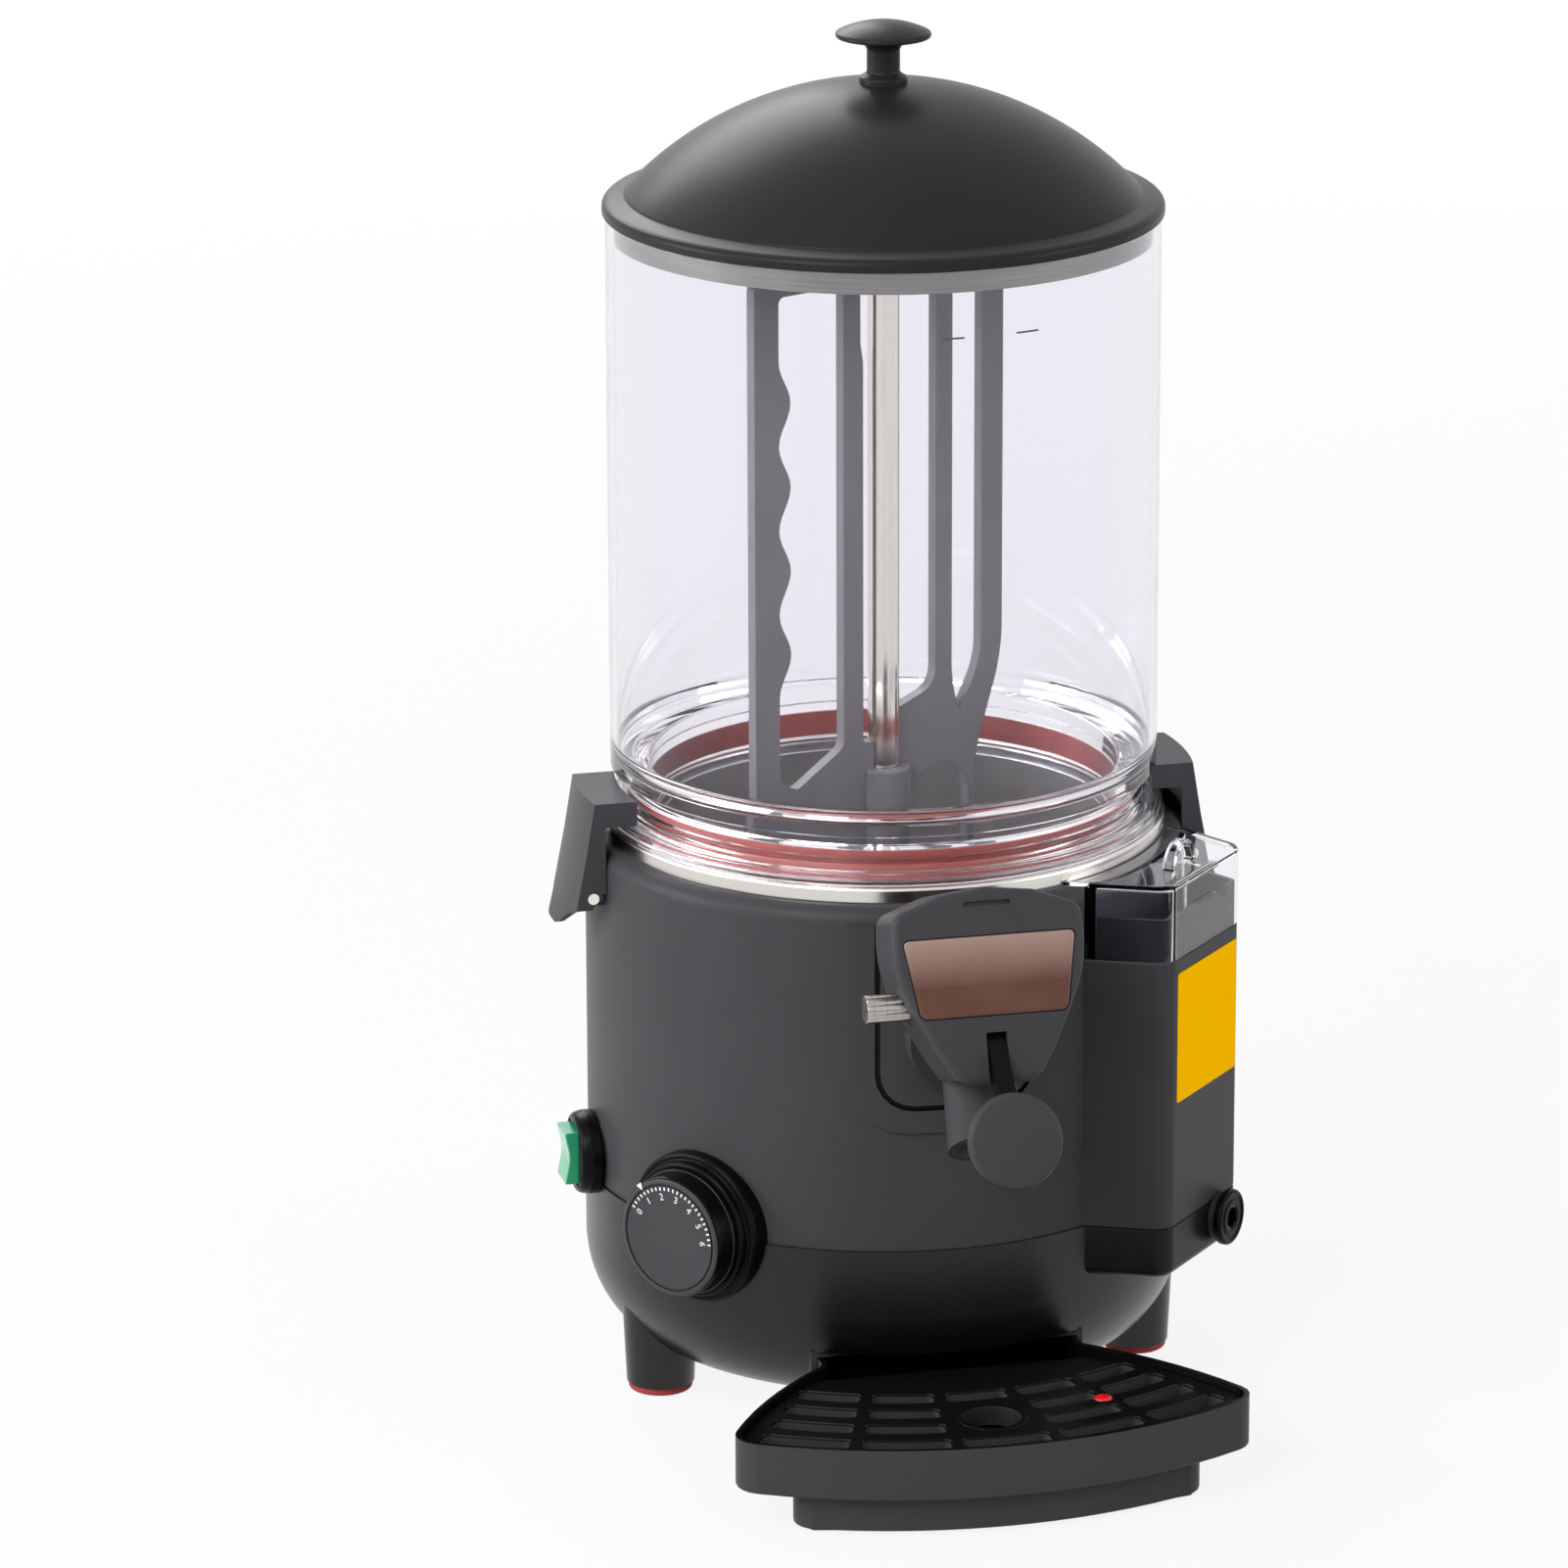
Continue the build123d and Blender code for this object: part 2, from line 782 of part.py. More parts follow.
def lid_knob():
    edge = lid_knob_top - lid_knob_crown
    lip = edge - lid_knob_edge
    neck = lip - lid_knob_under
    foot = dome_apex + lid_stem_foot_height
    bottom = dome_apex - lid_wall
    crown_middle = (lid_knob_radius / 2, lid_knob_top - lid_knob_crown / 4)
    edges = ThreePointArc((0, lid_knob_top), crown_middle, (lid_knob_radius, edge))
    edges += Polyline(
        (lid_knob_radius, edge),
        (lid_knob_radius, lip),
        (lid_stem_radius, neck),
        (lid_stem_radius, foot),
        (lid_stem_foot_radius, foot),
        (lid_stem_foot_radius, bottom),
        (0, bottom),
        (0, lid_knob_top),
    )
    knob = revolve(Plane.XZ * make_face(edges), Axis.Z)
    knob -= Pos(0, 0, dome_center) * Sphere(dome_radius)
    return knob - rod(lid_screw_radius, bottom - lid_screw_length, bottom + lid_screw_length)


def lid_screw():
    top = dome_apex - lid_wall
    head = rod(lid_screw_head_radius, top - lid_screw_head_height, top)
    head = fillet(head.edges().group_by(Axis.Z)[0], lid_screw_head_height / 3)
    head &= Pos(0, 0, dome_center) * Sphere(dome_radius - lid_wall)
    return head + rod(lid_screw_radius, top - lid_screw_head_height / 2, top + lid_screw_length)


# Side clips, built at the front and turned to the sides


def clip_pivot_distance():
    return body_radius + clip_pivot_out


def clip_plate(points, half):
    """A piece of the clip from (distance from the body axis, height) points."""
    face = make_face(Polyline(*[(-d, z) for d, z in points], close=True))
    return extrude(Plane.YZ * face, half, both=True)


def clip_lever(angle):
    pivot = clip_pivot_distance()
    low = clip_pivot_height
    hook_low = rim_top + flange_thickness + free_gap
    hook_top = hook_low + clip_hook_height
    hook_end = flange_radius - clip_hook_reach
    root = body_radius + clip_root_gap
    bottom = low - clip_cheek_drop
    outer_top = root + clip_root_gap
    outer_low = pivot + clip_nose_radius + clip_wall + clip_cheek
    far = 2 * outer_low
    outline = [
        (hook_end / 2, hook_low),
        (hook_end / 2, hook_top),
        (far, hook_top),
        (far, bottom),
        (pivot + clip_root_gap, bottom),
        (root, low - clip_root_gap),
        (root, hook_low),
    ]
    lever = clip_plate(outline, clip_width / 2)
    height = hook_top - bottom
    skin = Pos(0, 0, bottom + height / 2) * Cone(outer_low, outer_top, height)
    lever &= skin - rod(hook_end, bottom, hook_top)
    inside = clip_width / 2 - clip_cheek
    lean = (outer_low - outer_top) / height
    roof = low + clip_block_height
    wall_low = outer_low - clip_wall
    hollow = Cone(wall_low, wall_low - lean * (roof - bottom), roof - bottom)
    hollow = Pos(0, 0, (bottom + roof) / 2) * hollow
    lever -= hollow & block((-inside, -far, bottom), (inside, 0, roof))
    tab = [
        (outer_low - 2 * clip_wall, bottom + clip_wall),
        (outer_low - clip_wall / 2, bottom + clip_wall),
        (outer_low + clip_tab_out, bottom - clip_tab_drop),
        (outer_low + clip_tab_out - clip_wall, bottom - clip_tab_drop - clip_wall / 2),
    ]
    half = clip_width / 2
    end = bottom - clip_tab_drop - clip_wall
    start = bottom + clip_wall
    shape = [(-inside, start), (inside, start), (clip_tab_half, end), (-clip_tab_half, end)]
    taper = extrude(Plane.XZ * make_face(Polyline(*shape, close=True)), far)
    lever += clip_plate(tab, half) & taper
    lever -= across(clip_pin_radius + running_fit, -clip_width, clip_width, -pivot, low)
    return Rot(0, 0, angle) * lever


def clip_bracket(angle):
    pivot = clip_pivot_distance()
    inside = clip_width / 2 - clip_cheek - free_gap
    low = clip_pivot_height
    nose = across(clip_nose_radius, -inside, inside, -pivot, low)
    foot_top = low + clip_block_height / 2
    foot = block((-inside, -pivot, low - clip_nose_radius), (inside, -shell_inner / 2, foot_top))
    bracket = nose + foot - rod(body_radius, 0, jar_top)
    bracket -= across(clip_pin_radius, -clip_width, clip_width, -pivot, low)
    return Rot(0, 0, angle) * bracket


def clip_pins():
    pins = []
    for angle in (-90, 90):
        half = clip_width / 2 + free_gap
        pivot = clip_pivot_distance()
        pin = across(clip_pin_radius, -half, half, -pivot, clip_pivot_height)
        for side in (-1, 1):
            end = side * half
            out = side * (half + clip_pin_head_height)
            pin += across(clip_pin_head, min(end, out), max(end, out), -pivot, clip_pivot_height)
        pins.append((Rot(0, 0, angle) * pin).solid())
    return Compound(pins)


# Tap. The frame has its origin on the pivot pin, the front toward -Y and Z along the valve.

tap_frame = Location((0, -tap_pin_distance, tap_pin_height), (-tap_lean, 0, 0))


def feed_tube(radius):
    """The tube from the tub to the valve."""
    end = tap_pin_distance - valve_offset * cos(radians(tap_lean))
    return spoke(radius, tub_radius, end, feed_tube_height)


def valve_rod(radius, low, high):
    """An upright cylinder on the valve's axis, in the tap's frame."""
    return Pos(0, valve_offset, (low + high) / 2) * Cylinder(radius, high - low)


def valve_body():
    body = valve_rod(valve_radius, valve_bottom, valve_top)
    yoke_front = valve_offset - valve_yoke_depth / 2
    yoke_back = valve_offset + valve_yoke_depth / 2
    for side in (-1, 1):
        inner = side * valve_ear_inner
        outer = side * (valve_ear_inner + valve_ear_thickness)
        left, right = min(inner, outer), max(inner, outer)
        ear = across(valve_ear_radius, left, right, 0, 0)
        ear += block((left, 0, -valve_ear_drop), (right, valve_offset + valve_radius / 2, valve_ear_radius))
        ear += block((left, yoke_front, 0), (right, yoke_back, valve_yoke_top))
        body += ear
    half = valve_ear_inner + valve_ear_thickness
    bar_low = valve_yoke_top - valve_yoke_bar
    body += block((-half, yoke_front, bar_low), (half, yoke_back, valve_yoke_top))
    body -= across(tap_pin_radius, -tap_pin_left, tap_pin_left, 0, 0)
    body = tap_frame * body + feed_tube(feed_tube_radius)
    body -= tap_frame * valve_rod(valve_bore, valve_bottom - valve_radius, valve_radius)
    return body - feed_tube(feed_tube_bore)


def feed_nut():
    face = body_radius + panel_thickness
    nut = spoke(feed_nut_radius, shell_inner - shell_wall, face + feed_nut_depth, feed_tube_height)
    step_end = face + feed_nut_depth + feed_nut_step_depth
    nut += spoke(feed_nut_step_radius, face, step_end, feed_tube_height)
    nut -= rod(face, 0, shell_top)
    return nut - spoke(feed_tube_radius, jacket_radius, 2 * body_radius, feed_tube_height)


def tap_pin():
    pin = across(tap_pin_radius, -tap_pin_left, tap_pin_right, 0, 0)
    for i in range(tap_pin_flutes):
        turn = radians(360 * i / tap_pin_flutes)
        y = tap_pin_radius * cos(turn)
        z = tap_pin_radius * sin(turn)
        pin -= across(tap_pin_flute_radius, -tap_pin_left - 1, tap_pin_flute_length - tap_pin_left, y, z)
    return tap_frame * pin


def tap_piston():
    groove_low = -piston_groove_height / 2
    groove_high = piston_groove_height / 2
    piston = valve_rod(valve_bore - running_fit, piston_bottom, piston_shoulder)
    piston += valve_rod(piston_stem_radius, piston_shoulder, groove_low)
    piston += valve_rod(piston_neck_radius, groove_low, groove_high)
    piston += valve_rod(piston_collar_radius, groove_high, groove_high + piston_collar_height)
    piston -= Pos(0, valve_offset, piston_bottom + 2 * oring_section) * Torus(valve_bore, oring_section)
    return tap_frame * piston


def piston_oring():
    tube = oring_section - running_fit
    center = valve_bore - tube - running_fit
    inner_cut = valve_rod(center, piston_bottom, piston_shoulder)
    band = Pos(0, valve_offset, piston_bottom + 2 * oring_section) * Torus(valve_bore, tube)
    band -= inner_cut - valve_rod(valve_bore - tube, piston_bottom, piston_shoulder)
    kept = valve_rod(valve_bore - running_fit, piston_bottom, piston_shoulder)
    return tap_frame * (band & kept)


def tap_spring():
    low = piston_groove_height / 2 + piston_collar_height + spring_wire
    high = valve_yoke_top - valve_yoke_bar - spring_wire
    coil = Helix((high - low) / spring_turns, high - low, spring_radius)
    wire = sweep(Plane(coil @ 0, z_dir=coil % 0) * Circle(spring_wire), path=coil)
    return tap_frame * Pos(0, valve_offset, low) * wire


def tap_lever():
    half = lever_hub_width / 2
    lever = across(lever_hub_radius, -half, half, 0, 0)
    plate_inner = piston_collar_radius + free_gap
    plate_outer = plate_inner + lever_fork_thickness
    rise = lever_fork_height / 2
    for side in (-1, 1):
        left, right = sorted((side * plate_inner, side * plate_outer))
        lever += block((left, 0, -rise), (right, valve_offset, rise))
        lever += across(rise, left, right, valve_offset, 0)
        peg_left, peg_right = sorted((side * (piston_neck_radius + free_gap), side * plate_outer))
        lever += across(lever_peg_radius, peg_left, peg_right, valve_offset, 0)
    reach = sqrt(push_knob_forward**2 + push_knob_drop**2)
    tilt = 90 - Vector(push_knob_forward, push_knob_drop).get_angle(Vector(1, 0))
    half_arm = lever_arm_width / 2
    arm = block((-half_arm, -lever_arm_height / 2, -reach), (half_arm, lever_arm_height / 2, 0))
    lever += Rot(-tilt, 0, 0) * arm
    lever -= across(tap_pin_radius + running_fit, -half - 1, half + 1, 0, 0)
    seat = Rot(90, 0, 0) * Cylinder(push_knob_radius, push_knob_thickness)
    lever -= Pos(0, -push_knob_forward, -push_knob_drop) * seat
    return (tap_frame * lever).solids().sort_by(SortBy.VOLUME)[-1]


def push_knob():
    knob = Cylinder(push_knob_radius, push_knob_thickness)
    knob = fillet(knob.edges().group_by(Axis.Z)[-1], push_knob_crown)
    knob = fillet(knob.edges().group_by(Axis.Z)[0], push_knob_crown / 3)
    return tap_frame * Pos(0, -push_knob_forward, -push_knob_drop) * Rot(90, 0, 0) * knob


def cover_outline(inset):
    """The cover's front view, moved in by a wall, on the plane of its face."""
    top = cover_top - inset
    shoulder = cover_shoulder - inset / 2
    half_top = cover_half_top - inset
    half_width = cover_half_width - inset
    half_bottom = cover_half_bottom - inset
    bulge = (half_width + half_bottom) / 2 + cover_wall
    middle = (cover_waist + cover_bottom) / 2
    edges = ThreePointArc((-half_top, shoulder), (0, top), (half_top, shoulder))
    edges += Line((half_top, shoulder), (half_width, cover_waist))
    edges += ThreePointArc((half_width, cover_waist), (bulge, middle), (half_bottom, cover_bottom))
    edges += Line((half_bottom, cover_bottom), (-half_bottom, cover_bottom))
    edges += ThreePointArc((-half_bottom, cover_bottom), (-bulge, middle), (-half_width, cover_waist))
    edges += Line((-half_width, cover_waist), (-half_top, shoulder))
    return make_face(edges)


def window_outline(gap):
    top = window_top - gap
    bottom = window_bottom + gap
    half_top = window_half_top - gap
    half_bottom = window_half_bottom - gap
    corners = [(-half_top, top), (half_top, top), (half_bottom, bottom), (-half_bottom, bottom)]
    return make_face(Polyline(*corners, close=True))


cover_plane = Plane(origin=(0, -cover_front, 0), x_dir=(1, 0, 0), z_dir=(0, -1, 0))


def tap_cover():
    shell = extrude(cover_plane * cover_outline(0), -cover_depth)
    front_edges = shell.edges().group_by(Axis.Y)[0].sort_by(Axis.Z)[1:]
    shell = fillet(front_edges, cover_edge_round)
    hollow = extrude(cover_plane.offset(-cover_wall) * cover_outline(cover_wall), -cover_depth)
    shell -= hollow
    mouth = (-cover_half_bottom, cover_wall - cover_front, 2 * cover_bottom)
    shell -= block(mouth, (cover_half_bottom, cover_depth, cover_bottom + cover_wall))
    half_slot = cover_slot_width / 2
    shell -= block((-half_slot, -2 * cover_front, 2 * cover_bottom), (half_slot, 0, cover_slot_top))
    shell -= extrude(cover_plane * window_outline(0), -window_depth)
    shell -= valve_rod(valve_radius + free_gap, 2 * valve_bottom, valve_top)
    shell -= across(tap_pin_radius, -tap_pin_left, tap_pin_left, 0, 0)
    return (tap_frame * shell).solids().sort_by(SortBy.VOLUME)[-1]


def tap_window():
    pane = extrude(cover_plane.offset(-window_depth) * window_outline(seat_gap / 2), window_depth)
    return tap_frame * pane


def tap_panel():
    top = shell_top - shell_shoulder
    skin = ring(body_radius, body_radius + panel_thickness, panel_bottom, top)

    def shield(half_angle, bottom, corner, rise):
        half = (body_radius + panel_thickness) * sin(radians(half_angle))
        face = make_face(Polyline((-half, bottom), (half, bottom), (half, rise), (-half, rise), close=True))
        face = fillet(face.vertices().sort_by(Axis.Y)[:2], corner)
        return extrude(Plane.XZ * face, 2 * body_radius)

    panel = skin & shield(panel_half_angle, panel_bottom, panel_corner, shell_top)
    groove_skin = ring(body_radius + panel_thickness - panel_groove_depth, 2 * body_radius, panel_bottom, top)
    outer = shield(panel_groove_half_angle, panel_groove_bottom, panel_groove_corner, 2 * shell_top)
    inner_angle = panel_groove_half_angle - degrees(panel_groove_width / body_radius)
    inner_corner = panel_groove_corner - panel_groove_width
    inner = shield(inner_angle, panel_groove_bottom + panel_groove_width, inner_corner, 2 * shell_top)
    panel -= groove_skin & (outer - inner)
    panel -= spoke(feed_tube_radius + free_gap, jacket_radius, 2 * body_radius, feed_tube_height)
    return panel


# Water box, built at the front and turned to its angle


def box_prism(inset, low, high, back):
    """The box's plan, moved in by a wall, between two heights and outside a back radius."""
    spread = tan(radians(box_draft))
    far = box_distance - inset
    half_far = box_half_width + inset * spread - inset / cos(radians(box_draft))
    half_near = half_far + (far - box_root) * spread
    corners = [(-half_near, -box_root), (half_near, -box_root), (half_far, -far), (-half_far, -far)]
    face = make_face(Polyline(*corners, close=True))
    face = fillet(face.vertices().sort_by(Axis.Y)[:2], box_corner - inset)
    prism = Pos(0, 0, low) * extrude(face, high - low)
    return prism - rod(back, low - 1, high + 1)


def plug_hole(radius):
    hole = spoke(radius, body_radius + box_wall, 2 * body_radius, plug_height)
    return Pos(plug_offset, 0, 0) * hole


def water_box():
    box = box_prism(0, seam_height, clear_bottom, body_radius)
    inset = clear_wall + free_gap
    shelf = clear_bottom - box_wall
    collar_top = clear_bottom + box_collar_height
    box += box_prism(inset, shelf, collar_top, body_radius + inset)
    box -= box_prism(box_wall, seam_height - 1, shelf, body_radius + box_wall)
    box -= box_prism(box_wall + inset, shelf - 1, collar_top + 1, body_radius + box_wall + inset)
    tip = (-notch_offset, collar_top - notch_depth)
    corners = [(-notch_offset - notch_half, collar_top + 1), tip, (notch_half - notch_offset, collar_top + 1)]
    notch = make_face(Polyline(*corners, close=True))
    box -= extrude(Plane.XZ * notch, box_distance) - rod(body_radius + 3 * box_wall + inset, 0, box_top)
    box -= spoke(link_tube_radius, jacket_radius, body_radius + 2 * box_wall, link_tube_height)
    return Rot(0, 0, box_angle) * box


def water_box_base():
    base = box_prism(0, box_bottom, seam_height, bowl_radius)
    bottom_edges = base.edges().group_by(Axis.Z)[0].sort_by(Axis.Y)[:-1]
    base = chamfer(bottom_edges, box_wall / 2)
    base -= box_prism(box_wall, box_bottom + box_wall, seam_height + 1, bowl_radius + box_wall)
    base -= plug_hole(plug_shank_radius + running_fit)
    return Rot(0, 0, box_angle) * base


def water_box_top():
    back = body_radius + seat_gap
    top = box_prism(0, clear_bottom + seat_gap, box_top, back)
    top += box_prism(0, box_top - clear_lip, box_top, rim_radius + 2 * free_gap)
    top -= box_prism(clear_wall, clear_bottom, box_top - clear_wall, back + clear_wall)
    middle = (body_radius + box_distance) / 2
    arch = Cylinder(clear_handle_radius, clear_handle_width)
    arch -= Cylinder(clear_handle_radius - clear_handle_wall, 2 * clear_handle_width)
    arch = Pos(0, -middle, box_top) * Rot(90, 0, 0) * arch
    size = 2 * clear_handle_radius
    arch &= block((-size, -2 * body_radius, box_top - clear_wall / 2), (size, 0, box_top + size))
    return Rot(0, 0, box_angle) * (top + arch)


def link_tube():
    start = tub_radius + steel_sheet + free_gap
    end = body_radius + box_wall + 1
    tube = spoke(link_tube_radius, start, end, link_tube_height, box_angle)
    return tube - spoke(link_tube_bore, start - 1, end + 1, link_tube_height, box_angle)


def drain_plug():
    start = box_distance + 2 * oring_section
    plug = spoke(plug_radius, start, start + plug_head, plug_height)
    plug += spoke(plug_shank_radius, box_distance - plug_shank_length, start, plug_height)
    socket_floor = start + plug_head - plug_socket_depth
    plug -= spoke(plug_socket_radius, socket_floor, start + 2 * plug_head, plug_height)
    return Rot(0, 0, box_angle) * Pos(plug_offset, 0, 0) * plug


def drain_plug_seal():
    start = box_distance + seat_gap
    end = box_distance + 2 * oring_section
    seal = spoke(plug_shank_radius + 2 * oring_section, start, end, plug_height)
    seal -= spoke(plug_shank_radius, start - 1, end + 1, plug_height)
    return Rot(0, 0, box_angle) * Pos(plug_offset, 0, 0) * seal


# Thermostat


def dial_bezel():
    step = bowl_radius + dial_bezel_depth / 2
    bezel = spoke(dial_bezel_radius, shell_inner, step, dial_height)
    inner_radius = dial_bezel_radius - dial_bezel_step
    bezel += spoke(inner_radius, shell_inner, bowl_radius + dial_bezel_depth, dial_height)
    bezel -= spoke(thermostat_neck_radius, 0, 2 * body_radius, dial_height)
    bezel -= rod(body_radius, seam_height, shell_top)
    bezel -= bowl_outer_solid()
    return Rot(0, 0, dial_angle) * bezel.solids().sort_by(SortBy.VOLUME)[-1]


def dial_knob():
    start = bowl_radius + dial_bezel_depth + free_gap
    knob = spoke(dial_radius, start, dial_face_distance, dial_height)
    knob = fillet(knob.edges().group_by(Axis.Y)[0], dial_edge_round)
    knob += spoke(dial_shaft_radius, shell_inner - thermostat_setback, start + dial_depth / 2, dial_height)
    return Rot(0, 0, dial_angle) * knob


def thermostat():
    back = shell_inner - thermostat_setback
    half = thermostat_size / 2
    body = block((-half, -back, dial_height - half), (half, -back + thermostat_depth, dial_height + half))
    body += spoke(thermostat_neck_radius, back, bowl_radius, dial_height)
    body -= spoke(dial_shaft_radius + running_fit, back - thermostat_depth / 2, 2 * body_radius, dial_height)
    return Rot(0, 0, dial_angle) * body


# Switch


def switch_block(gap, start, end):
    half_w = rocker_width / 2 + gap
    half_h = rocker_height / 2 + gap
    return block((-half_w, -end, switch_height - half_h), (half_w, -start, switch_height + half_h))


def switch_opening():
    return Rot(0, 0, switch_angle) * switch_block(2 * rocker_gap, jacket_radius, 2 * body_radius)


def rocker_pivot_distance():
    return body_radius + switch_bezel_depth - rocker_pivot_inset


def switch_bezel():
    face = body_radius + switch_bezel_depth
    bezel = spoke(switch_radius, shell_inner, face, switch_height)
    bezel = fillet(bezel.edges().group_by(Axis.Y)[0], rocker_gap)
    bezel -= rod(body_radius, seam_height, shell_top)
    bezel -= rod(bowl_radius, 0, seam_height)
    bezel = bezel.solids().sort_by(SortBy.VOLUME)[-1]
    window = switch_block(rocker_gap, shell_inner, 2 * body_radius)
    half = rocker_width / 2 + rocker_gap + rocker_pin_length
    sockets = across(rocker_pin_radius + running_fit, -half, half, -rocker_pivot_distance(), switch_height)
    return Rot(0, 0, switch_angle) * (bezel - window - sockets)


def switch_rocker():
    pivot = rocker_pivot_distance()
    face = body_radius + switch_bezel_depth
    rocker = switch_block(0, pivot - rocker_pivot_inset, face + rocker_out)
    rocker = fillet(rocker.edges().group_by(Axis.Y)[0], rocker_gap)
    half = rocker_width / 2 + rocker_gap + rocker_pin_length - free_gap
    rocker += across(rocker_pin_radius, -half, half, -pivot, switch_height)
    return Rot(0, 0, switch_angle) * rocker


def switch_body():
    end = shell_inner - seat_gap - bowl_lip_wall - 2 * free_gap
    case = switch_block(rocker_gap, end - switch_body_depth, end)
    case += switch_block(2 * rocker_gap, end - 2 * rocker_gap, body_radius - rocker_gap / 2)
    case -= switch_block(rocker_gap, end, 2 * body_radius)
    return Rot(0, 0, switch_angle) * case


# Drip tray


def tray_outline(half_back, back, half_front, front, inset):
    """The plan of the tray: a fan with bowed sides, its front on an arc, and a straight neck."""
    center = tray_arc_radius - tray_front
    radius = front + center
    corner_y = center - sqrt(radius**2 - half_front**2)
    run = half_front - half_back
    rise = -tray_flare - corner_y
    length = hypot(run, rise)
    side_radius = (length**2 / 4 + tray_side_bow**2) / (2 * tray_side_bow)
    reach = (side_radius - tray_side_bow) / length
    side_x = (half_front + half_back) / 2 - reach * rise
    side_y = (corner_y - tray_flare) / 2 - reach * run
    fan = Pos(0, center) * Circle(radius - inset)
    fan &= Pos(side_x, side_y) * Circle(side_radius - inset)
    fan &= Pos(-side_x, side_y) * Circle(side_radius - inset)
    top = (Align.CENTER, Align.MAX)
    fan &= Pos(0, tray_wall - tray_flare) * Rectangle(2 * half_front, front, align=top)
    neck = Rectangle(2 * (half_back - inset), tray_flare + tray_corner - back, align=top)
    face = fan + Pos(0, -back - inset) * neck
    tips = face.vertices().group_by(Axis.Y)[0]
    return fillet(tips, tray_corner - inset)


def tray_upper(inset):
    return tray_outline(tray_half_back, tray_back, tray_half_front, tray_front, inset)


def tray_lower(inset):
    front = tray_front - tray_lower_inset
    back = tray_back + tray_lower_inset
    return tray_outline(tray_lower_half_back, back, tray_lower_half_front, front, inset)


def tray_pan():
    pan = Pos(0, 0, tray_step_height) * extrude(tray_upper(0), tray_top - tray_step_height)
    pan += Pos(0, 0, tray_bottom) * extrude(tray_lower(0), tray_step_height - tray_bottom + 1)
    pan -= Pos(0, 0, tray_step_height + tray_wall) * extrude(tray_upper(tray_wall), tray_top)
    pan -= Pos(0, 0, tray_bottom + tray_wall) * extrude(tray_lower(tray_wall), tray_top)
    return pan


def tray_grille():
    top = tray_top - grille_drop
    edge = tray_wall + free_gap
    low = tray_step_height + tray_wall
    back = -bowl_radius - grille_body_gap
    grille = Pos(0, 0, low) * extrude(tray_upper(edge), top - low)
    depth = top - grille_thickness - low
    hollow = Pos(0, 0, low - 1) * extrude(tray_upper(edge + grille_skirt), depth + 1)
    hollow -= block((-tray_half_front, back - grille_skirt, 0), (tray_half_front, 0, tray_top))
    grille -= hollow
    grille -= block((-tray_half_front, back, 0), (tray_half_front, 0, 2 * tray_top))
    center = tray_arc_radius - tray_front
    for row in range(slot_rows):
        radius = tray_arc_radius - slot_first_row - row * slot_row_pitch
        for column in range(slot_columns):
            turn = (column - (slot_columns - 1) / 2) * slot_column_pitch
            sweep_angle = slot_column_pitch - degrees((slot_rib + slot_width) / radius)
            if turn == 0 and row in (1, 2):
                continue
            arc = CenterArc((0, center), radius, 270 + turn - sweep_angle / 2, sweep_angle)
            slot = extrude(SlotArc(arc, slot_width), 4 * grille_thickness, both=True)
            grille -= Pos(0, 0, top) * slot
    drain_y = slot_first_row + 1.5 * slot_row_pitch - tray_front
    grille -= Pos(0, drain_y, top) * Cylinder(drain_hole_radius, 4 * grille_thickness)
    grille -= Pos(float_x, -float_y, top) * Cylinder(float_pin_radius + free_gap, 4 * grille_thickness)
    return grille


def tray_float():
    low = tray_bottom + tray_wall
    body = Cylinder(float_body_radius, float_body_height)
    body = Pos(float_x, -float_y, low + float_body_height / 2) * body
    top = tray_top - grille_drop + float_proud
    pin = Pos(float_x, -float_y, (low + top) / 2) * Cylinder(float_pin_radius, top - low)
    pin = fillet(pin.edges().group_by(Axis.Z)[-1], float_pin_radius / 4)
    return body + pin


def tray_bracket():
    low = tray_step_height - seat_gap - bracket_rail_height
    back = -bracket_back
    frame = block((-bracket_half, -bracket_front, low), (bracket_half, back, bracket_top))
    inner_half = bracket_half - bracket_wall
    inner_top = bracket_top - bracket_wall
    rail_half = inner_half - bracket_rail
    rear = back - bracket_wall
    rail_top = tray_step_height - seat_gap
    frame -= block((-inner_half, -2 * bracket_front, rail_top), (inner_half, rear, inner_top))
    frame -= block((-rail_half, -2 * bracket_front, 0), (rail_half, rear, inner_top))
    return frame


def power_inlet():
    start = bowl_radius
    gland = spoke(inlet_radius, bowl_radius - 2 * shell_wall, start + inlet_length, inlet_height)
    gland += spoke(inlet_flange_radius, shell_inner, start + inlet_flange_thickness, inlet_height)
    gland -= rod(bowl_radius, 0, shell_top) - spoke(inlet_radius, 0, 2 * body_radius, inlet_height)
    gland -= spoke(inlet_bore, 0, 2 * body_radius, inlet_height)
    return Rot(0, 0, 180) * gland


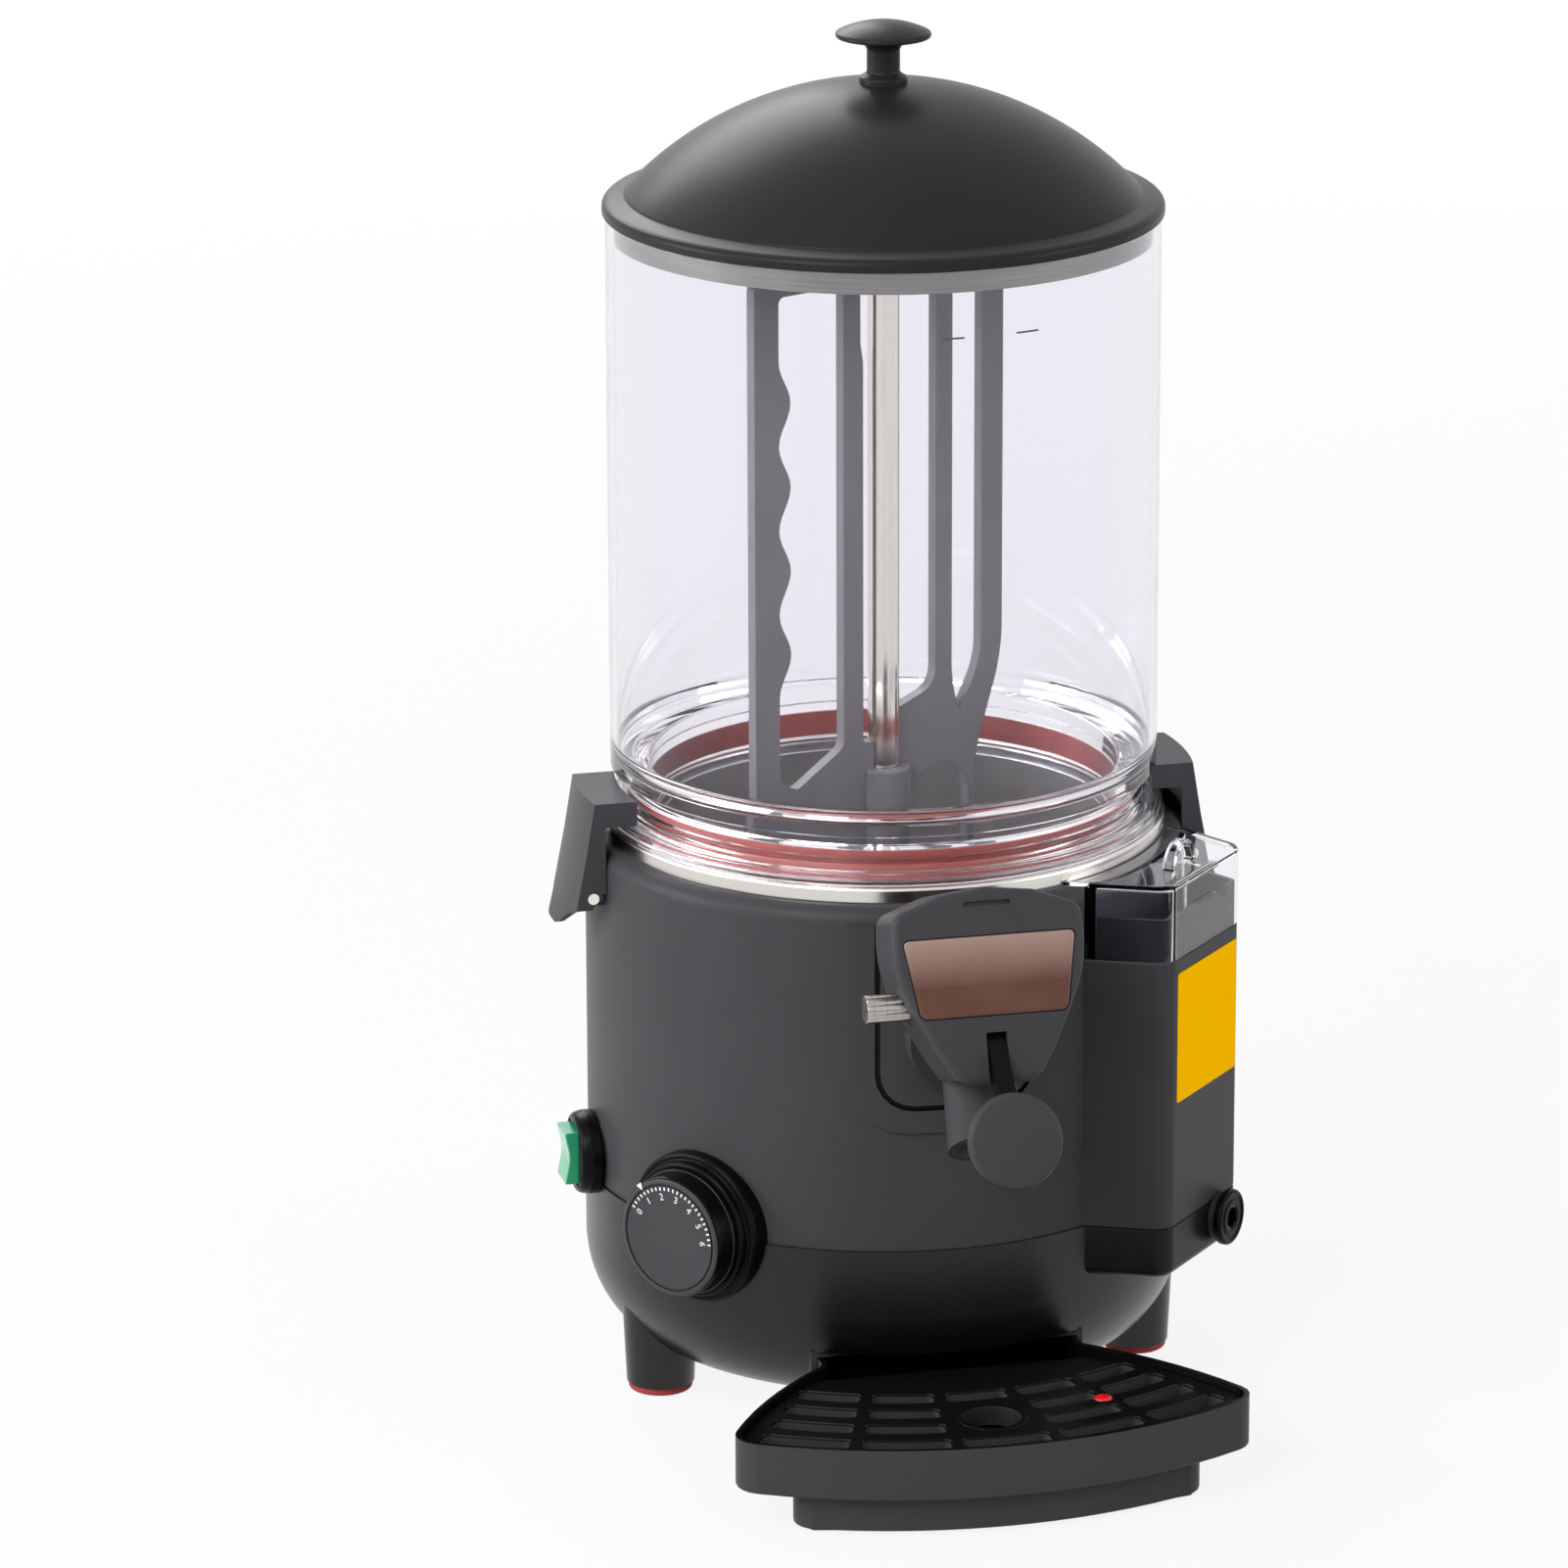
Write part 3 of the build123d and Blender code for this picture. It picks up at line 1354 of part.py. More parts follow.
leg_names = ("leg_front_left", "leg_front_right", "leg_rear_left", "leg_rear_right")
pieces = {
    "lower_bowl": lower_bowl(),
    "upper_shell": upper_shell(),
    "base_plate": base_plate(),
    "base_screws": base_screws(),
    "leg_pads": leg_pads(),
    "tub": tub(),
    "bath_jacket": bath_jacket(),
    "heating_ring": heating_ring(),
    "center_column": center_column(),
    "shaft_bushes": shaft_bushes(),
    "drive_shaft": drive_shaft(),
    "shaft_coupling": shaft_coupling(),
    "gearmotor": gearmotor(),
    "motor_bracket": motor_bracket(),
    "agitator": agitator(),
    "agitator_cap": agitator_cap(),
    "jar": jar(),
    "jar_gasket": jar_gasket(),
    "lid_dome": lid_dome(),
    "lid_skirt": lid_skirt(),
    "lid_knob": lid_knob(),
    "lid_screw": lid_screw(),
    "clip_lever_left": clip_lever(-90),
    "clip_lever_right": clip_lever(90),
    "clip_bracket_left": clip_bracket(-90),
    "clip_bracket_right": clip_bracket(90),
    "clip_pins": clip_pins(),
    "tap_panel": tap_panel(),
    "valve_body": valve_body(),
    "feed_nut": feed_nut(),
    "tap_pin": tap_pin(),
    "tap_piston": tap_piston(),
    "piston_oring": piston_oring(),
    "tap_spring": tap_spring(),
    "tap_lever": tap_lever(),
    "push_knob": push_knob(),
    "tap_cover": tap_cover(),
    "tap_window": tap_window(),
    "water_box": water_box(),
    "water_box_base": water_box_base(),
    "water_box_top": water_box_top(),
    "link_tube": link_tube(),
    "drain_plug": drain_plug(),
    "drain_plug_seal": drain_plug_seal(),
    "dial_bezel": dial_bezel(),
    "dial_knob": dial_knob(),
    "thermostat": thermostat(),
    "switch_bezel": switch_bezel(),
    "switch_rocker": switch_rocker(),
    "switch_body": switch_body(),
    "tray_pan": tray_pan(),
    "tray_grille": tray_grille(),
    "tray_float": tray_float(),
    "tray_bracket": tray_bracket(),
    "power_inlet": power_inlet(),
}
for name, place in zip(leg_names, leg_places()):
    pieces[name] = leg(place)

for name, piece in pieces.items():
    export_step(piece, f"parts/{name}.step")
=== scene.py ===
import bpy
from math import asin, cos, pi, radians, sin, sqrt
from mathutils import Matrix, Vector


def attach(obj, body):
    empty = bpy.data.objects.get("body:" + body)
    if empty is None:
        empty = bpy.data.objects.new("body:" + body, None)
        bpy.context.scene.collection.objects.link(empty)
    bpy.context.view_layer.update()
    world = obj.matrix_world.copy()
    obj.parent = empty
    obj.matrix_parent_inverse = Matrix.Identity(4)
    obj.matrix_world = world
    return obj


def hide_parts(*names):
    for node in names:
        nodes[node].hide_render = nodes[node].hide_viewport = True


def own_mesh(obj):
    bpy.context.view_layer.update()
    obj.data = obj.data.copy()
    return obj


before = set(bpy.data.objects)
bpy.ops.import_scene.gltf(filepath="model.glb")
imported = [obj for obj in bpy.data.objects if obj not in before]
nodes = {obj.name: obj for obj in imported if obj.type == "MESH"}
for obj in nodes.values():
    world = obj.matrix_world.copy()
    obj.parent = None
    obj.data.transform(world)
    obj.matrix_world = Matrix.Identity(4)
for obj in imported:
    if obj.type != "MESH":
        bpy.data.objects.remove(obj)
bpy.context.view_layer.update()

# countertop hot chocolate dispenser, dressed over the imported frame
mm = 0.001
same = 0.01              # in mm, closer than this is the same place

# camera where the photographer stood, lens and sensor in mm
shot = {"place": (-0.7784, -3.1691, 1.2432), "down": 16.898, "turn": -13.8, "lens": 185.09, "sensor": 36,
        "slide": -0.0634}
bpy.ops.object.select_all(action="DESELECT")
bpy.ops.object.camera_add(location=shot["place"], rotation=(radians(90 - shot["down"]), 0,
                                                            radians(shot["turn"])))
camera = bpy.context.object
camera.data.sensor_width = shot["sensor"]
camera.data.lens = shot["lens"]
camera.data.shift_x = shot["slide"]
bpy.context.scene.camera = camera
bpy.context.scene.view_settings.view_transform = "Standard"
print("camera set")


def linear(code):
    parts = [int(code[i:i + 2], 16) / 255 for i in (1, 3, 5)]
    return tuple(c / 12.92 if c <= 0.04045 else ((c + 0.055) / 1.055) ** 2.4 for c in parts) + (1.0,)


def addNode(tree, kind, settings=None, links=None):
    node = tree.nodes.new(kind)
    for key, value in (settings or {}).items():
        if isinstance(key, str) and hasattr(node, key):
            setattr(node, key, value)
        else:
            node.inputs[key].default_value = value
    for key, source in (links or {}).items():
        tree.links.new(source, node.inputs[key])
    return node


def freshTree(owner):
    owner.use_nodes = True
    owner.node_tree.nodes.clear()
    return owner.node_tree


# white sweep: camera, mirror and glass rays see white, the rest gets a plain soft level; metres
studio = {"light": "#ffffff", "soft": 0.3, "white": 1.0, "floor": "#d8d8d8", "floorWhite": 0.88,
          "floorSize": 40.0, "floorDrop": 0.0005, "fade": (0.9, 2.4), "aim": (0, 0, 0.28)}


def seenDirectly(tree):
    rays = addNode(tree, "ShaderNodeLightPath").outputs
    seen = addNode(tree, "ShaderNodeMath", {"operation": "MAXIMUM"},
                   {0: rays["Is Camera Ray"], 1: rays["Is Glossy Ray"]})
    seen = addNode(tree, "ShaderNodeMath", {"operation": "MAXIMUM"},
                   {0: seen.outputs[0], 1: rays["Is Transmission Ray"]})
    return seen.outputs[0]


world = bpy.data.worlds.new("whiteStudio")
bpy.context.scene.world = world
tree = freshTree(world)
strength = addNode(tree, "ShaderNodeMapRange", {"To Min": studio["soft"], "To Max": studio["white"]},
                   {"Value": seenDirectly(tree)})
sky = addNode(tree, "ShaderNodeBackground", {"Color": linear(studio["light"])},
              {"Strength": strength.outputs[0]})
addNode(tree, "ShaderNodeOutputWorld", {}, {"Surface": sky.outputs[0]})

bpy.ops.object.select_all(action="DESELECT")
bpy.ops.mesh.primitive_plane_add(size=studio["floorSize"], location=(0, 0, -studio["floorDrop"]))
floor = bpy.context.object
floor.name = "studioFloor"
paper = bpy.data.materials.new("whitePaperSweep")
tree = freshTree(paper)
spot = addNode(tree, "ShaderNodeTexCoord")           # away from the part the paper runs out to plain white
away = addNode(tree, "ShaderNodeVectorMath", {"operation": "LENGTH"}, {0: spot.outputs["Object"]})
fade = addNode(tree, "ShaderNodeMapRange", {"From Min": studio["fade"][0], "From Max": studio["fade"][1],
                                            "To Min": studio["floorWhite"], "To Max": studio["white"]},
               {"Value": away.outputs["Value"]})
share = addNode(tree, "ShaderNodeMath", {"operation": "MULTIPLY"},
                {0: seenDirectly(tree), 1: fade.outputs[0]})
matte = addNode(tree, "ShaderNodeBsdfDiffuse", {"Color": linear(studio["floor"])})
glow = addNode(tree, "ShaderNodeEmission", {"Color": linear(studio["light"]), "Strength": studio["white"]})
mix = addNode(tree, "ShaderNodeMixShader", {}, {0: share.outputs[0], 1: matte.outputs[0], 2: glow.outputs[0]})
addNode(tree, "ShaderNodeOutputMaterial", {}, {"Surface": mix.outputs[0]})
floor.data.materials.append(paper)

# key from the left front, weak fill at the right, one far behind for the lid, one low for the left edge
lamps = {
    "keyBox": {"at": (-1.55, -1.5, 1.8), "size": 1.5, "power": 46},
    "fillBox": {"at": (1.9, -1.0, 0.9), "size": 1.2, "power": 13},
    "topBox": {"at": (-0.3, 2.2, 1.9), "size": 1.5, "power": 36},
    "edgeBox": {"at": (-2.0, 0.2, 0.8), "size": 1.1, "power": 28},
}
for name, lamp in lamps.items():
    aim = Vector(studio["aim"]) - Vector(lamp["at"])
    bpy.ops.object.light_add(type="AREA", location=lamp["at"],
                             rotation=aim.to_track_quat("-Z", "Y").to_euler())
    softBox = bpy.context.object
    softBox.name = name
    softBox.data.shape = "SQUARE"
    softBox.data.size = lamp["size"]
    softBox.data.energy = lamp["power"]
print("studio lit")

noiseLow, noiseHigh = 0.3, 0.7                       # nearly all of a noise texture lies between these
colourOne, colourTwo, colourOut = 6, 7, 2            # the mix node's colour sockets


def startFinish(name):
    finish = bpy.data.materials.new(name)
    tree = freshTree(finish)
    place = addNode(tree, "ShaderNodeTexCoord")
    return finish, tree, place.outputs["Object"]


def mouldedFinish(look):
    # colour drifts over centimetres as the melt flowed, the tool's texture breaks the gloss; lengths in mm
    finish, tree, place = startFinish(look["name"])
    drift = addNode(tree, "ShaderNodeTexNoise", {"Scale": 1 / (look["drift"] * mm), "Detail": 3.0},
                    {"Vector": place})
    tone = addNode(tree, "ShaderNodeMix", {"data_type": "RGBA", colourOne: linear(look["deep"]),
                                           colourTwo: linear(look["pale"])}, {0: drift.outputs["Fac"]})
    grain = addNode(tree, "ShaderNodeTexNoise", {"Scale": 1 / (look["grain"] * mm), "Detail": 2.0,
                                                 "Roughness": 0.6},
                    {"Vector": place})
    gloss = addNode(tree, "ShaderNodeMapRange", {"From Min": noiseLow, "From Max": noiseHigh,
                                                 "To Min": look["gloss"][0], "To Max": look["gloss"][1]},
                    {"Value": grain.outputs["Fac"]})
    dents = addNode(tree, "ShaderNodeBump", {"Strength": look["depth"], "Distance": 0.15 * mm},
                    {"Height": grain.outputs["Fac"]})
    skin = addNode(tree, "ShaderNodeBsdfPrincipled", look.get("sockets"),
                   {"Base Color": tone.outputs[colourOut], "Roughness": gloss.outputs[0],
                    "Normal": dents.outputs[0]})
    addNode(tree, "ShaderNodeOutputMaterial", {}, {"Surface": skin.outputs[0]})
    return finish


# injection-moulded black ABS: satin skin off a spark-eroded tool, grain 0.1 mm, drawn 0.7 mm so that it shows
blackAbs = mouldedFinish({
    "name": "mouldedBlackAbs", "deep": "#3b3b3e", "pale": "#424245", "drift": 60, "grain": 0.7,
    "gloss": (0.36, 0.44), "depth": 0.10, "sockets": {"IOR": 1.5, "Specular IOR Level": 0.1}})
# bowl and legs in gloss black: the colour is nearly gone, the eye gets the floor and the tray mirrored in it
glossAbs = mouldedFinish({
    "name": "glossMouldedBlackAbs", "deep": "#060607", "pale": "#0a0a0b", "drift": 60, "grain": 0.8,
    "gloss": (0.26, 0.32), "depth": 0.05, "sockets": {"IOR": 1.5, "Specular IOR Level": 0.42}})
# the foot and the collar of the water box come off a brighter tool than the body, in a deeper black
semiGlossAbs = mouldedFinish({
    "name": "semiGlossBlackAbs", "deep": "#161619", "pale": "#1b1b1e", "drift": 60, "grain": 0.8,
    "gloss": (0.27, 0.34), "depth": 0.07, "sockets": {"IOR": 1.5, "Specular IOR Level": 0.13}})
# the same plastic off a polished tool: near mirror, only a slow orange peel, real ripple about 3 mm
polishedAbs = mouldedFinish({
    "name": "polishedBlackAbs", "deep": "#09090b", "pale": "#0f0f11", "drift": 35, "grain": 3.0,
    "gloss": (0.20, 0.27), "depth": 0.06, "sockets": {"IOR": 1.5, "Specular IOR Level": 0.07}})
# soft-touch lid moulding: finer and flatter than the body, so the dome shows one wide quiet highlight
lidPlastic = mouldedFinish({
    "name": "satinBlackPolypropylene", "deep": "#222225", "pale": "#28282b", "drift": 80, "grain": 0.9,
    "gloss": (0.30, 0.38), "depth": 0.07, "sockets": {"IOR": 1.49, "Specular IOR Level": 0.1}})
# dark acetal agitator: greasy semi-matt engineering plastic
greyAcetal = mouldedFinish({
    "name": "mouldedGreyAcetal", "deep": "#5e5d5f", "pale": "#696869", "drift": 30, "grain": 1.0,
    "gloss": (0.38, 0.48), "depth": 0.10, "sockets": {"IOR": 1.48, "Specular IOR Level": 0.3}})
# cured red silicone: matt, a little light goes in and comes back warmer
redSilicone = mouldedFinish({
    "name": "mouldedRedSilicone", "deep": "#86433d", "pale": "#9a544d", "drift": 12, "grain": 0.8,
    "gloss": (0.42, 0.55), "depth": 0.12,
    "sockets": {"IOR": 1.41, "Subsurface Weight": 0.15, "Subsurface Scale": 2 * mm}})
# red rubber foot tips: dusty and matt, scuffed by counters
redRubber = mouldedFinish({
    "name": "mouldedRedRubber", "deep": "#8c2424", "pale": "#a83030", "drift": 8, "grain": 0.9,
    "gloss": (0.60, 0.75), "depth": 0.25, "sockets": {"IOR": 1.52}})
# float button in bright red ABS, polished tool
redAbs = mouldedFinish({
    "name": "polishedRedAbs", "deep": "#d01010", "pale": "#ee1c1c", "drift": 10, "grain": 2.0,
    "gloss": (0.18, 0.26), "depth": 0.05, "sockets": {"IOR": 1.5}})
# inside pieces: nylon bushes, rubber seals, enamelled motor
whiteNylon = mouldedFinish({
    "name": "mouldedWhiteNylon", "deep": "#d6d3ca", "pale": "#e2e0d8", "drift": 15, "grain": 0.8,
    "gloss": (0.35, 0.45), "depth": 0.08, "sockets": {"IOR": 1.53}})
blackRubber = mouldedFinish({
    "name": "mouldedBlackRubber", "deep": "#141414", "pale": "#1d1d1d", "drift": 10, "grain": 0.8,
    "gloss": (0.55, 0.7), "depth": 0.2, "sockets": {"IOR": 1.52}})
motorEnamel = mouldedFinish({
    "name": "sprayedGreyEnamel", "deep": "#3c4246", "pale": "#4a5054", "drift": 25, "grain": 1.5,
    "gloss": (0.28, 0.4), "depth": 0.12, "sockets": {"IOR": 1.5, "Coat Weight": 0.3}})
# blank label in yellow vinyl: a flat film with a faint painted glow, painted light that gives back a little
# more light than it gets
yellowVinylPaintedGlow = mouldedFinish({
    "name": "yellowVinylWithPaintedGlow", "deep": "#fcb800", "pale": "#ffc200", "drift": 20, "grain": 1.2,
    "gloss": (0.42, 0.5), "depth": 0.06,
    "sockets": {"IOR": 1.53, "Specular IOR Level": 0.0, "Emission Color": linear("#ffbe00"),
                "Emission Strength": 0.12}})
# pad-printed inks, slightly uneven where the pad lifted
whiteInk = mouldedFinish({
    "name": "padPrintedWhiteInk", "deep": "#d8d8d6", "pale": "#f0f0ee", "drift": 1.5, "grain": 0.6,
    "gloss": (0.4, 0.55), "depth": 0.05})
greyInk = mouldedFinish({
    "name": "padPrintedGreyInk", "deep": "#3d3d45", "pale": "#55555e", "drift": 2, "grain": 0.6,
    "gloss": (0.4, 0.55), "depth": 0.05})


def metalFinish(look):
    # scratches lie along the way the polishing wheel ran; lines counts them per metre along each axis
    finish, tree, place = startFinish(look["name"])
    along = addNode(tree, "ShaderNodeMapping", {"Scale": look["lines"]}, {"Vector": place})
    lines = addNode(tree, "ShaderNodeTexNoise", {"Scale": 1.0, "Detail": 4.0, "Roughness": 0.7},
                    {"Vector": along.outputs[0]})
    tone = addNode(tree, "ShaderNodeMix", {"data_type": "RGBA", colourOne: linear(look["deep"]),
                                           colourTwo: linear(look["pale"])}, {0: lines.outputs["Fac"]})
    gloss = addNode(tree, "ShaderNodeMapRange", {"From Min": noiseLow, "From Max": noiseHigh,
                                                 "To Min": look["gloss"][0], "To Max": look["gloss"][1]},
                    {"Value": lines.outputs["Fac"]})
    cuts = addNode(tree, "ShaderNodeBump", {"Strength": look["depth"], "Distance": 0.05 * mm},
                   {"Height": lines.outputs["Fac"]})
    skin = addNode(tree, "ShaderNodeBsdfPrincipled",
                   {"Metallic": 1.0, "Anisotropic": look["stretch"], "Base Color": linear(look["pale"])},
                   {"Base Color": tone.outputs[colourOut], "Roughness": gloss.outputs[0],
                    "Normal": cuts.outputs[0]})
    addNode(tree, "ShaderNodeOutputMaterial", {}, {"Surface": skin.outputs[0]})
    return finish


# spun and brushed stainless rim: rings 0.3 mm apart in height, drawn 0.5 mm so that they show
brushedSteel = metalFinish({
    "name": "brushedStainlessSteel", "deep": "#c6c3bd", "pale": "#e7e4de", "lines": (25, 25, 2000),
    "gloss": (0.16, 0.26), "depth": 0.025, "stretch": 0.4})
# inside of the tub, bead blasted: dull and even, its colour painted darker than the rim as painted shade
# inside the tub
blastedSteelPaintedShade = metalFinish({
    "name": "beadBlastedSteelPaintedShade", "deep": "#a3a1a0", "pale": "#b0aeac", "lines": (90, 90, 90),
    "gloss": (0.42, 0.5), "depth": 0.01, "stretch": 0.3})
# rolled skirt ring of the lid: the same sheet left duller, its colour painted darker as a painted reflection
# of the dark lid above it
skirtSteelPaintedDark = metalFinish({
    "name": "stainlessBandPaintedDark", "deep": "#6f6e6c", "pale": "#a3a19d", "lines": (25, 25, 1600),
    "gloss": (0.28, 0.4), "depth": 0.06, "stretch": 0.3})
# drawn and polished tube: grain runs up and down, nearly a mirror
polishedSteel = metalFinish({
    "name": "polishedStainlessTube", "deep": "#d6d1c8", "pale": "#f2eee6", "lines": (900, 900, 12),
    "gloss": (0.1, 0.18), "depth": 0.03, "stretch": 0.2})
# turned pin: the lathe left it greyer, with fine rings across
turnedSteel = metalFinish({
    "name": "turnedStainlessPin", "deep": "#85827d", "pale": "#cfcbc5", "lines": (1500, 60, 60),
    "gloss": (0.2, 0.32), "depth": 0.06, "stretch": 0.2})
# zinc-plated sheet of the base plate and the brackets: dull, blotchy spangle
zincSheet = metalFinish({
    "name": "zincPlatedSheet", "deep": "#8f9296", "pale": "#b4b7ba", "lines": (120, 120, 120),
    "gloss": (0.35, 0.5), "depth": 0.05, "stretch": 0.0})


def clearFinish(look):
    # sharp reflections, slow ripples in the wall, and lamps pass through to what it covers
    finish, tree, place = startFinish(look["name"])
    ripple = addNode(tree, "ShaderNodeTexNoise", {"Scale": 1 / (look["ripple"] * mm), "Detail": 1.0},
                     {"Vector": place})
    gloss = addNode(tree, "ShaderNodeMapRange", {"To Min": 0.0, "To Max": 0.05},
                    {"Value": ripple.outputs["Fac"]})
    wave = addNode(tree, "ShaderNodeBump", {"Strength": 0.04, "Distance": 0.3 * mm},
                   {"Height": ripple.outputs["Fac"]})
    skin = addNode(tree, "ShaderNodeBsdfPrincipled",
                   {"IOR": look["bend"], "Specular Tint": linear(look["mirror"]), "Transmission Weight": 1.0,
                    "Base Color": linear(look["tint"])},
                   {"Roughness": gloss.outputs[0], "Normal": wave.outputs[0]})
    rays = addNode(tree, "ShaderNodeLightPath")
    through = addNode(tree, "ShaderNodeBsdfTransparent", {"Color": linear(look["tint"])})
    lampsPass = addNode(tree, "ShaderNodeMixShader", {},
                        {0: rays.outputs["Is Shadow Ray"], 1: skin.outputs[0], 2: through.outputs[0]})
    addNode(tree, "ShaderNodeOutputMaterial", {}, {"Surface": lampsPass.outputs[0]})
    return finish


# moulded clear polycarbonate jar: a faint lilac cast
clearPlastic = clearFinish({"name": "mouldedClearPolycarbonate", "tint": "#f6f5f9", "mirror": "#8c8b91",
                            "bend": 1.45, "ripple": 25})
# moulded clear styrene cap: thinner and quieter, so the dark box shows through it
clearStyrene = clearFinish({"name": "mouldedClearStyrene", "tint": "#fbfafd", "mirror": "#3c3b40",
                            "bend": 1.42, "ripple": 18})

# back-printed brown acrylic panel: deep colour under a clear gloss, lighter toward its top edge
acrylic = {"deep": "#573226", "pale": "#a3887f", "low": 222, "high": 243, "cloud": 14, "cloudShare": 0.14}
brownAcrylic, tree, place = startFinish("backPrintedBrownAcrylic")
height = addNode(tree, "ShaderNodeSeparateXYZ", {}, {"Vector": place})
rise = addNode(tree, "ShaderNodeMapRange", {"From Min": acrylic["low"] * mm,
                                            "From Max": acrylic["high"] * mm},
               {"Value": height.outputs["Z"]})
cloud = addNode(tree, "ShaderNodeTexNoise", {"Scale": 1 / (acrylic["cloud"] * mm), "Detail": 2.0},
                {"Vector": place})
blendUp = addNode(tree, "ShaderNodeMath", {"operation": "MULTIPLY_ADD", 1: acrylic["cloudShare"]},
                  {0: cloud.outputs["Fac"], 2: rise.outputs[0]})
tone = addNode(tree, "ShaderNodeMix", {"data_type": "RGBA", colourOne: linear(acrylic["deep"]),
                                       colourTwo: linear(acrylic["pale"])}, {0: blendUp.outputs[0]})
skin = addNode(tree, "ShaderNodeBsdfPrincipled",
               {"Roughness": 0.22, "IOR": 1.49, "Specular IOR Level": 0.12, "Coat Weight": 0.25,
                "Coat Roughness": 0.06},
               {"Base Color": tone.outputs[colourOut]})
addNode(tree, "ShaderNodeOutputMaterial", {}, {"Surface": skin.outputs[0]})

# lamp-lit rocker in clear green polycarbonate: prism ribs 2 mm apart inside the lens
lens = {"deep": "#0e8454", "pale": "#35b483", "gloss": (0.12, 0.24), "ribs": 1.979}
waveRepeat = pi / 10                                 # a wave texture of scale 1 repeats after this
greenLens, tree, place = startFinish("ribbedGreenPolycarbonate")
ribs = addNode(tree, "ShaderNodeTexWave", {"bands_direction": "Y", "Scale": waveRepeat / (lens["ribs"] * mm),
                                          "Distortion": 0.0}, {"Vector": place})
tone = addNode(tree, "ShaderNodeMix", {"data_type": "RGBA", colourOne: linear(lens["deep"]),
                                       colourTwo: linear(lens["pale"])}, {0: ribs.outputs["Fac"]})
gloss = addNode(tree, "ShaderNodeMapRange", {"To Min": lens["gloss"][0], "To Max": lens["gloss"][1]},
                {"Value": ribs.outputs["Fac"]})
skin = addNode(tree, "ShaderNodeBsdfPrincipled",
               {"IOR": 1.58, "Coat Weight": 0.6, "Subsurface Weight": 0.25, "Subsurface Scale": 3 * mm},
               {"Base Color": tone.outputs[colourOut], "Roughness": gloss.outputs[0]})
addNode(tree, "ShaderNodeOutputMaterial", {}, {"Surface": skin.outputs[0]})

finishes = {"body_plastic": blackAbs, "dark_gloss": polishedAbs, "clear_plastic": clearPlastic,
            "silicone": redSilicone, "foot_rubber": redRubber, "steel": brushedSteel,
            "pin_steel": polishedSteel, "agitator_grey": greyAcetal, "window_brown": brownAcrylic,
            "rocker_green": greenLens, "float_red": redAbs, "motor_paint": motorEnamel,
            "plated_sheet": zincSheet, "white_plastic": whiteNylon, "black_rubber": blackRubber}
# the tap lever gets the near-black gloss as painted shade, dark as if deep in the slot of the cover
ownFinishes = {"center_column": polishedSteel, "lid_skirt": skirtSteelPaintedDark, "tap_lever": polishedAbs,
               "lower_bowl": glossAbs, "leg_front_left": glossAbs, "leg_front_right": glossAbs,
               "leg_rear_left": glossAbs, "leg_rear_right": glossAbs}
for node in nodes.values():
    for i, old in enumerate(node.data.materials):
        node.data.materials[i] = finishes[old.name.split(".")[0]]
for name, finish in ownFinishes.items():
    nodes[name].data.materials[0] = finish
print("finishes on the CAD nodes")


def startPick(kind):
    bpy.ops.object.mode_set(mode="EDIT")
    bpy.ops.mesh.select_mode(type=kind)
    bpy.ops.mesh.select_all(action="DESELECT")
    bpy.ops.object.mode_set(mode="OBJECT")


def pickPoints(piece, test):
    startPick("VERT")
    for point in piece.data.vertices:
        point.select = test(point.co / mm)
    bpy.ops.object.mode_set(mode="EDIT")


def pickEdges(piece, test):
    startPick("EDGE")
    spots = piece.data.vertices
    for edge in piece.data.edges:
        edge.select = test(spots[edge.vertices[0]].co / mm, spots[edge.vertices[1]].co / mm)
    bpy.ops.object.mode_set(mode="EDIT")


def pickFaces(piece, test):
    startPick("FACE")
    for face in piece.data.polygons:
        face.select = test(face.center / mm, face.normal)
    bpy.ops.object.mode_set(mode="EDIT")


def atHeight(height, a, b):
    return abs(a.z - height) < same and abs(b.z - height) < same


def takeUp(piece):
    if bpy.context.object and bpy.context.object.mode == "EDIT":
        bpy.ops.object.mode_set(mode="OBJECT")
    bpy.ops.object.select_all(action="DESELECT")
    piece.select_set(True)
    bpy.context.view_layer.objects.active = piece


def oblong(left, low, right, high, *soft):
    return [(left, low) + soft, (right, low) + soft, (right, high) + soft, (left, high) + soft]


def mirrored(corners):
    return [(-c[0],) + c[1:] for c in corners[::-1]]


def arcSpots(middle, radius, end, count):
    # from straight above the middle round to an angle, as (across, up)
    turns = [end * i / count for i in range(count + 1)]
    return [(middle[0] + radius * sin(a), middle[1] + radius * cos(a)) for a in turns]


def drawLine(name, corners, flat="XZ", segments=5):
    # one point pulled from corner to corner with E; a third number rounds that corner, in mm
    if flat == "XZ":
        spots = [Vector((c[0], 0, c[1])) * mm for c in corners]
    else:
        spots = [Vector((c[0], c[1], 0)) * mm for c in corners]
    bpy.ops.object.select_all(action="DESELECT")
    bpy.ops.mesh.primitive_plane_add(size=mm)
    piece = bpy.context.object
    piece.name = name
    bpy.ops.object.mode_set(mode="EDIT")
    bpy.ops.mesh.select_mode(type="VERT")
    bpy.ops.mesh.merge(type="CENTER")
    bpy.ops.transform.translate(value=spots[0])
    for a, b in zip(spots, spots[1:]):
        bpy.ops.mesh.extrude_region_move(TRANSFORM_OT_translate={"value": b - a})
    ends = [spots[0] / mm, spots[-1] / mm]
    pickPoints(piece, lambda p: min((p - e).length for e in ends) < same)
    bpy.ops.mesh.edge_face_add()
    for size in sorted({c[2] for c in corners if len(c) > 2}):
        turns = [s / mm for s, c in zip(spots, corners) if len(c) > 2 and c[2] == size]
        pickPoints(piece, lambda p: min((p - t).length for t in turns) < same)
        bpy.ops.mesh.bevel(offset=size * mm, segments=segments, affect="VERTICES", clamp_overlap=True)
    bpy.ops.object.mode_set(mode="OBJECT")
    return piece


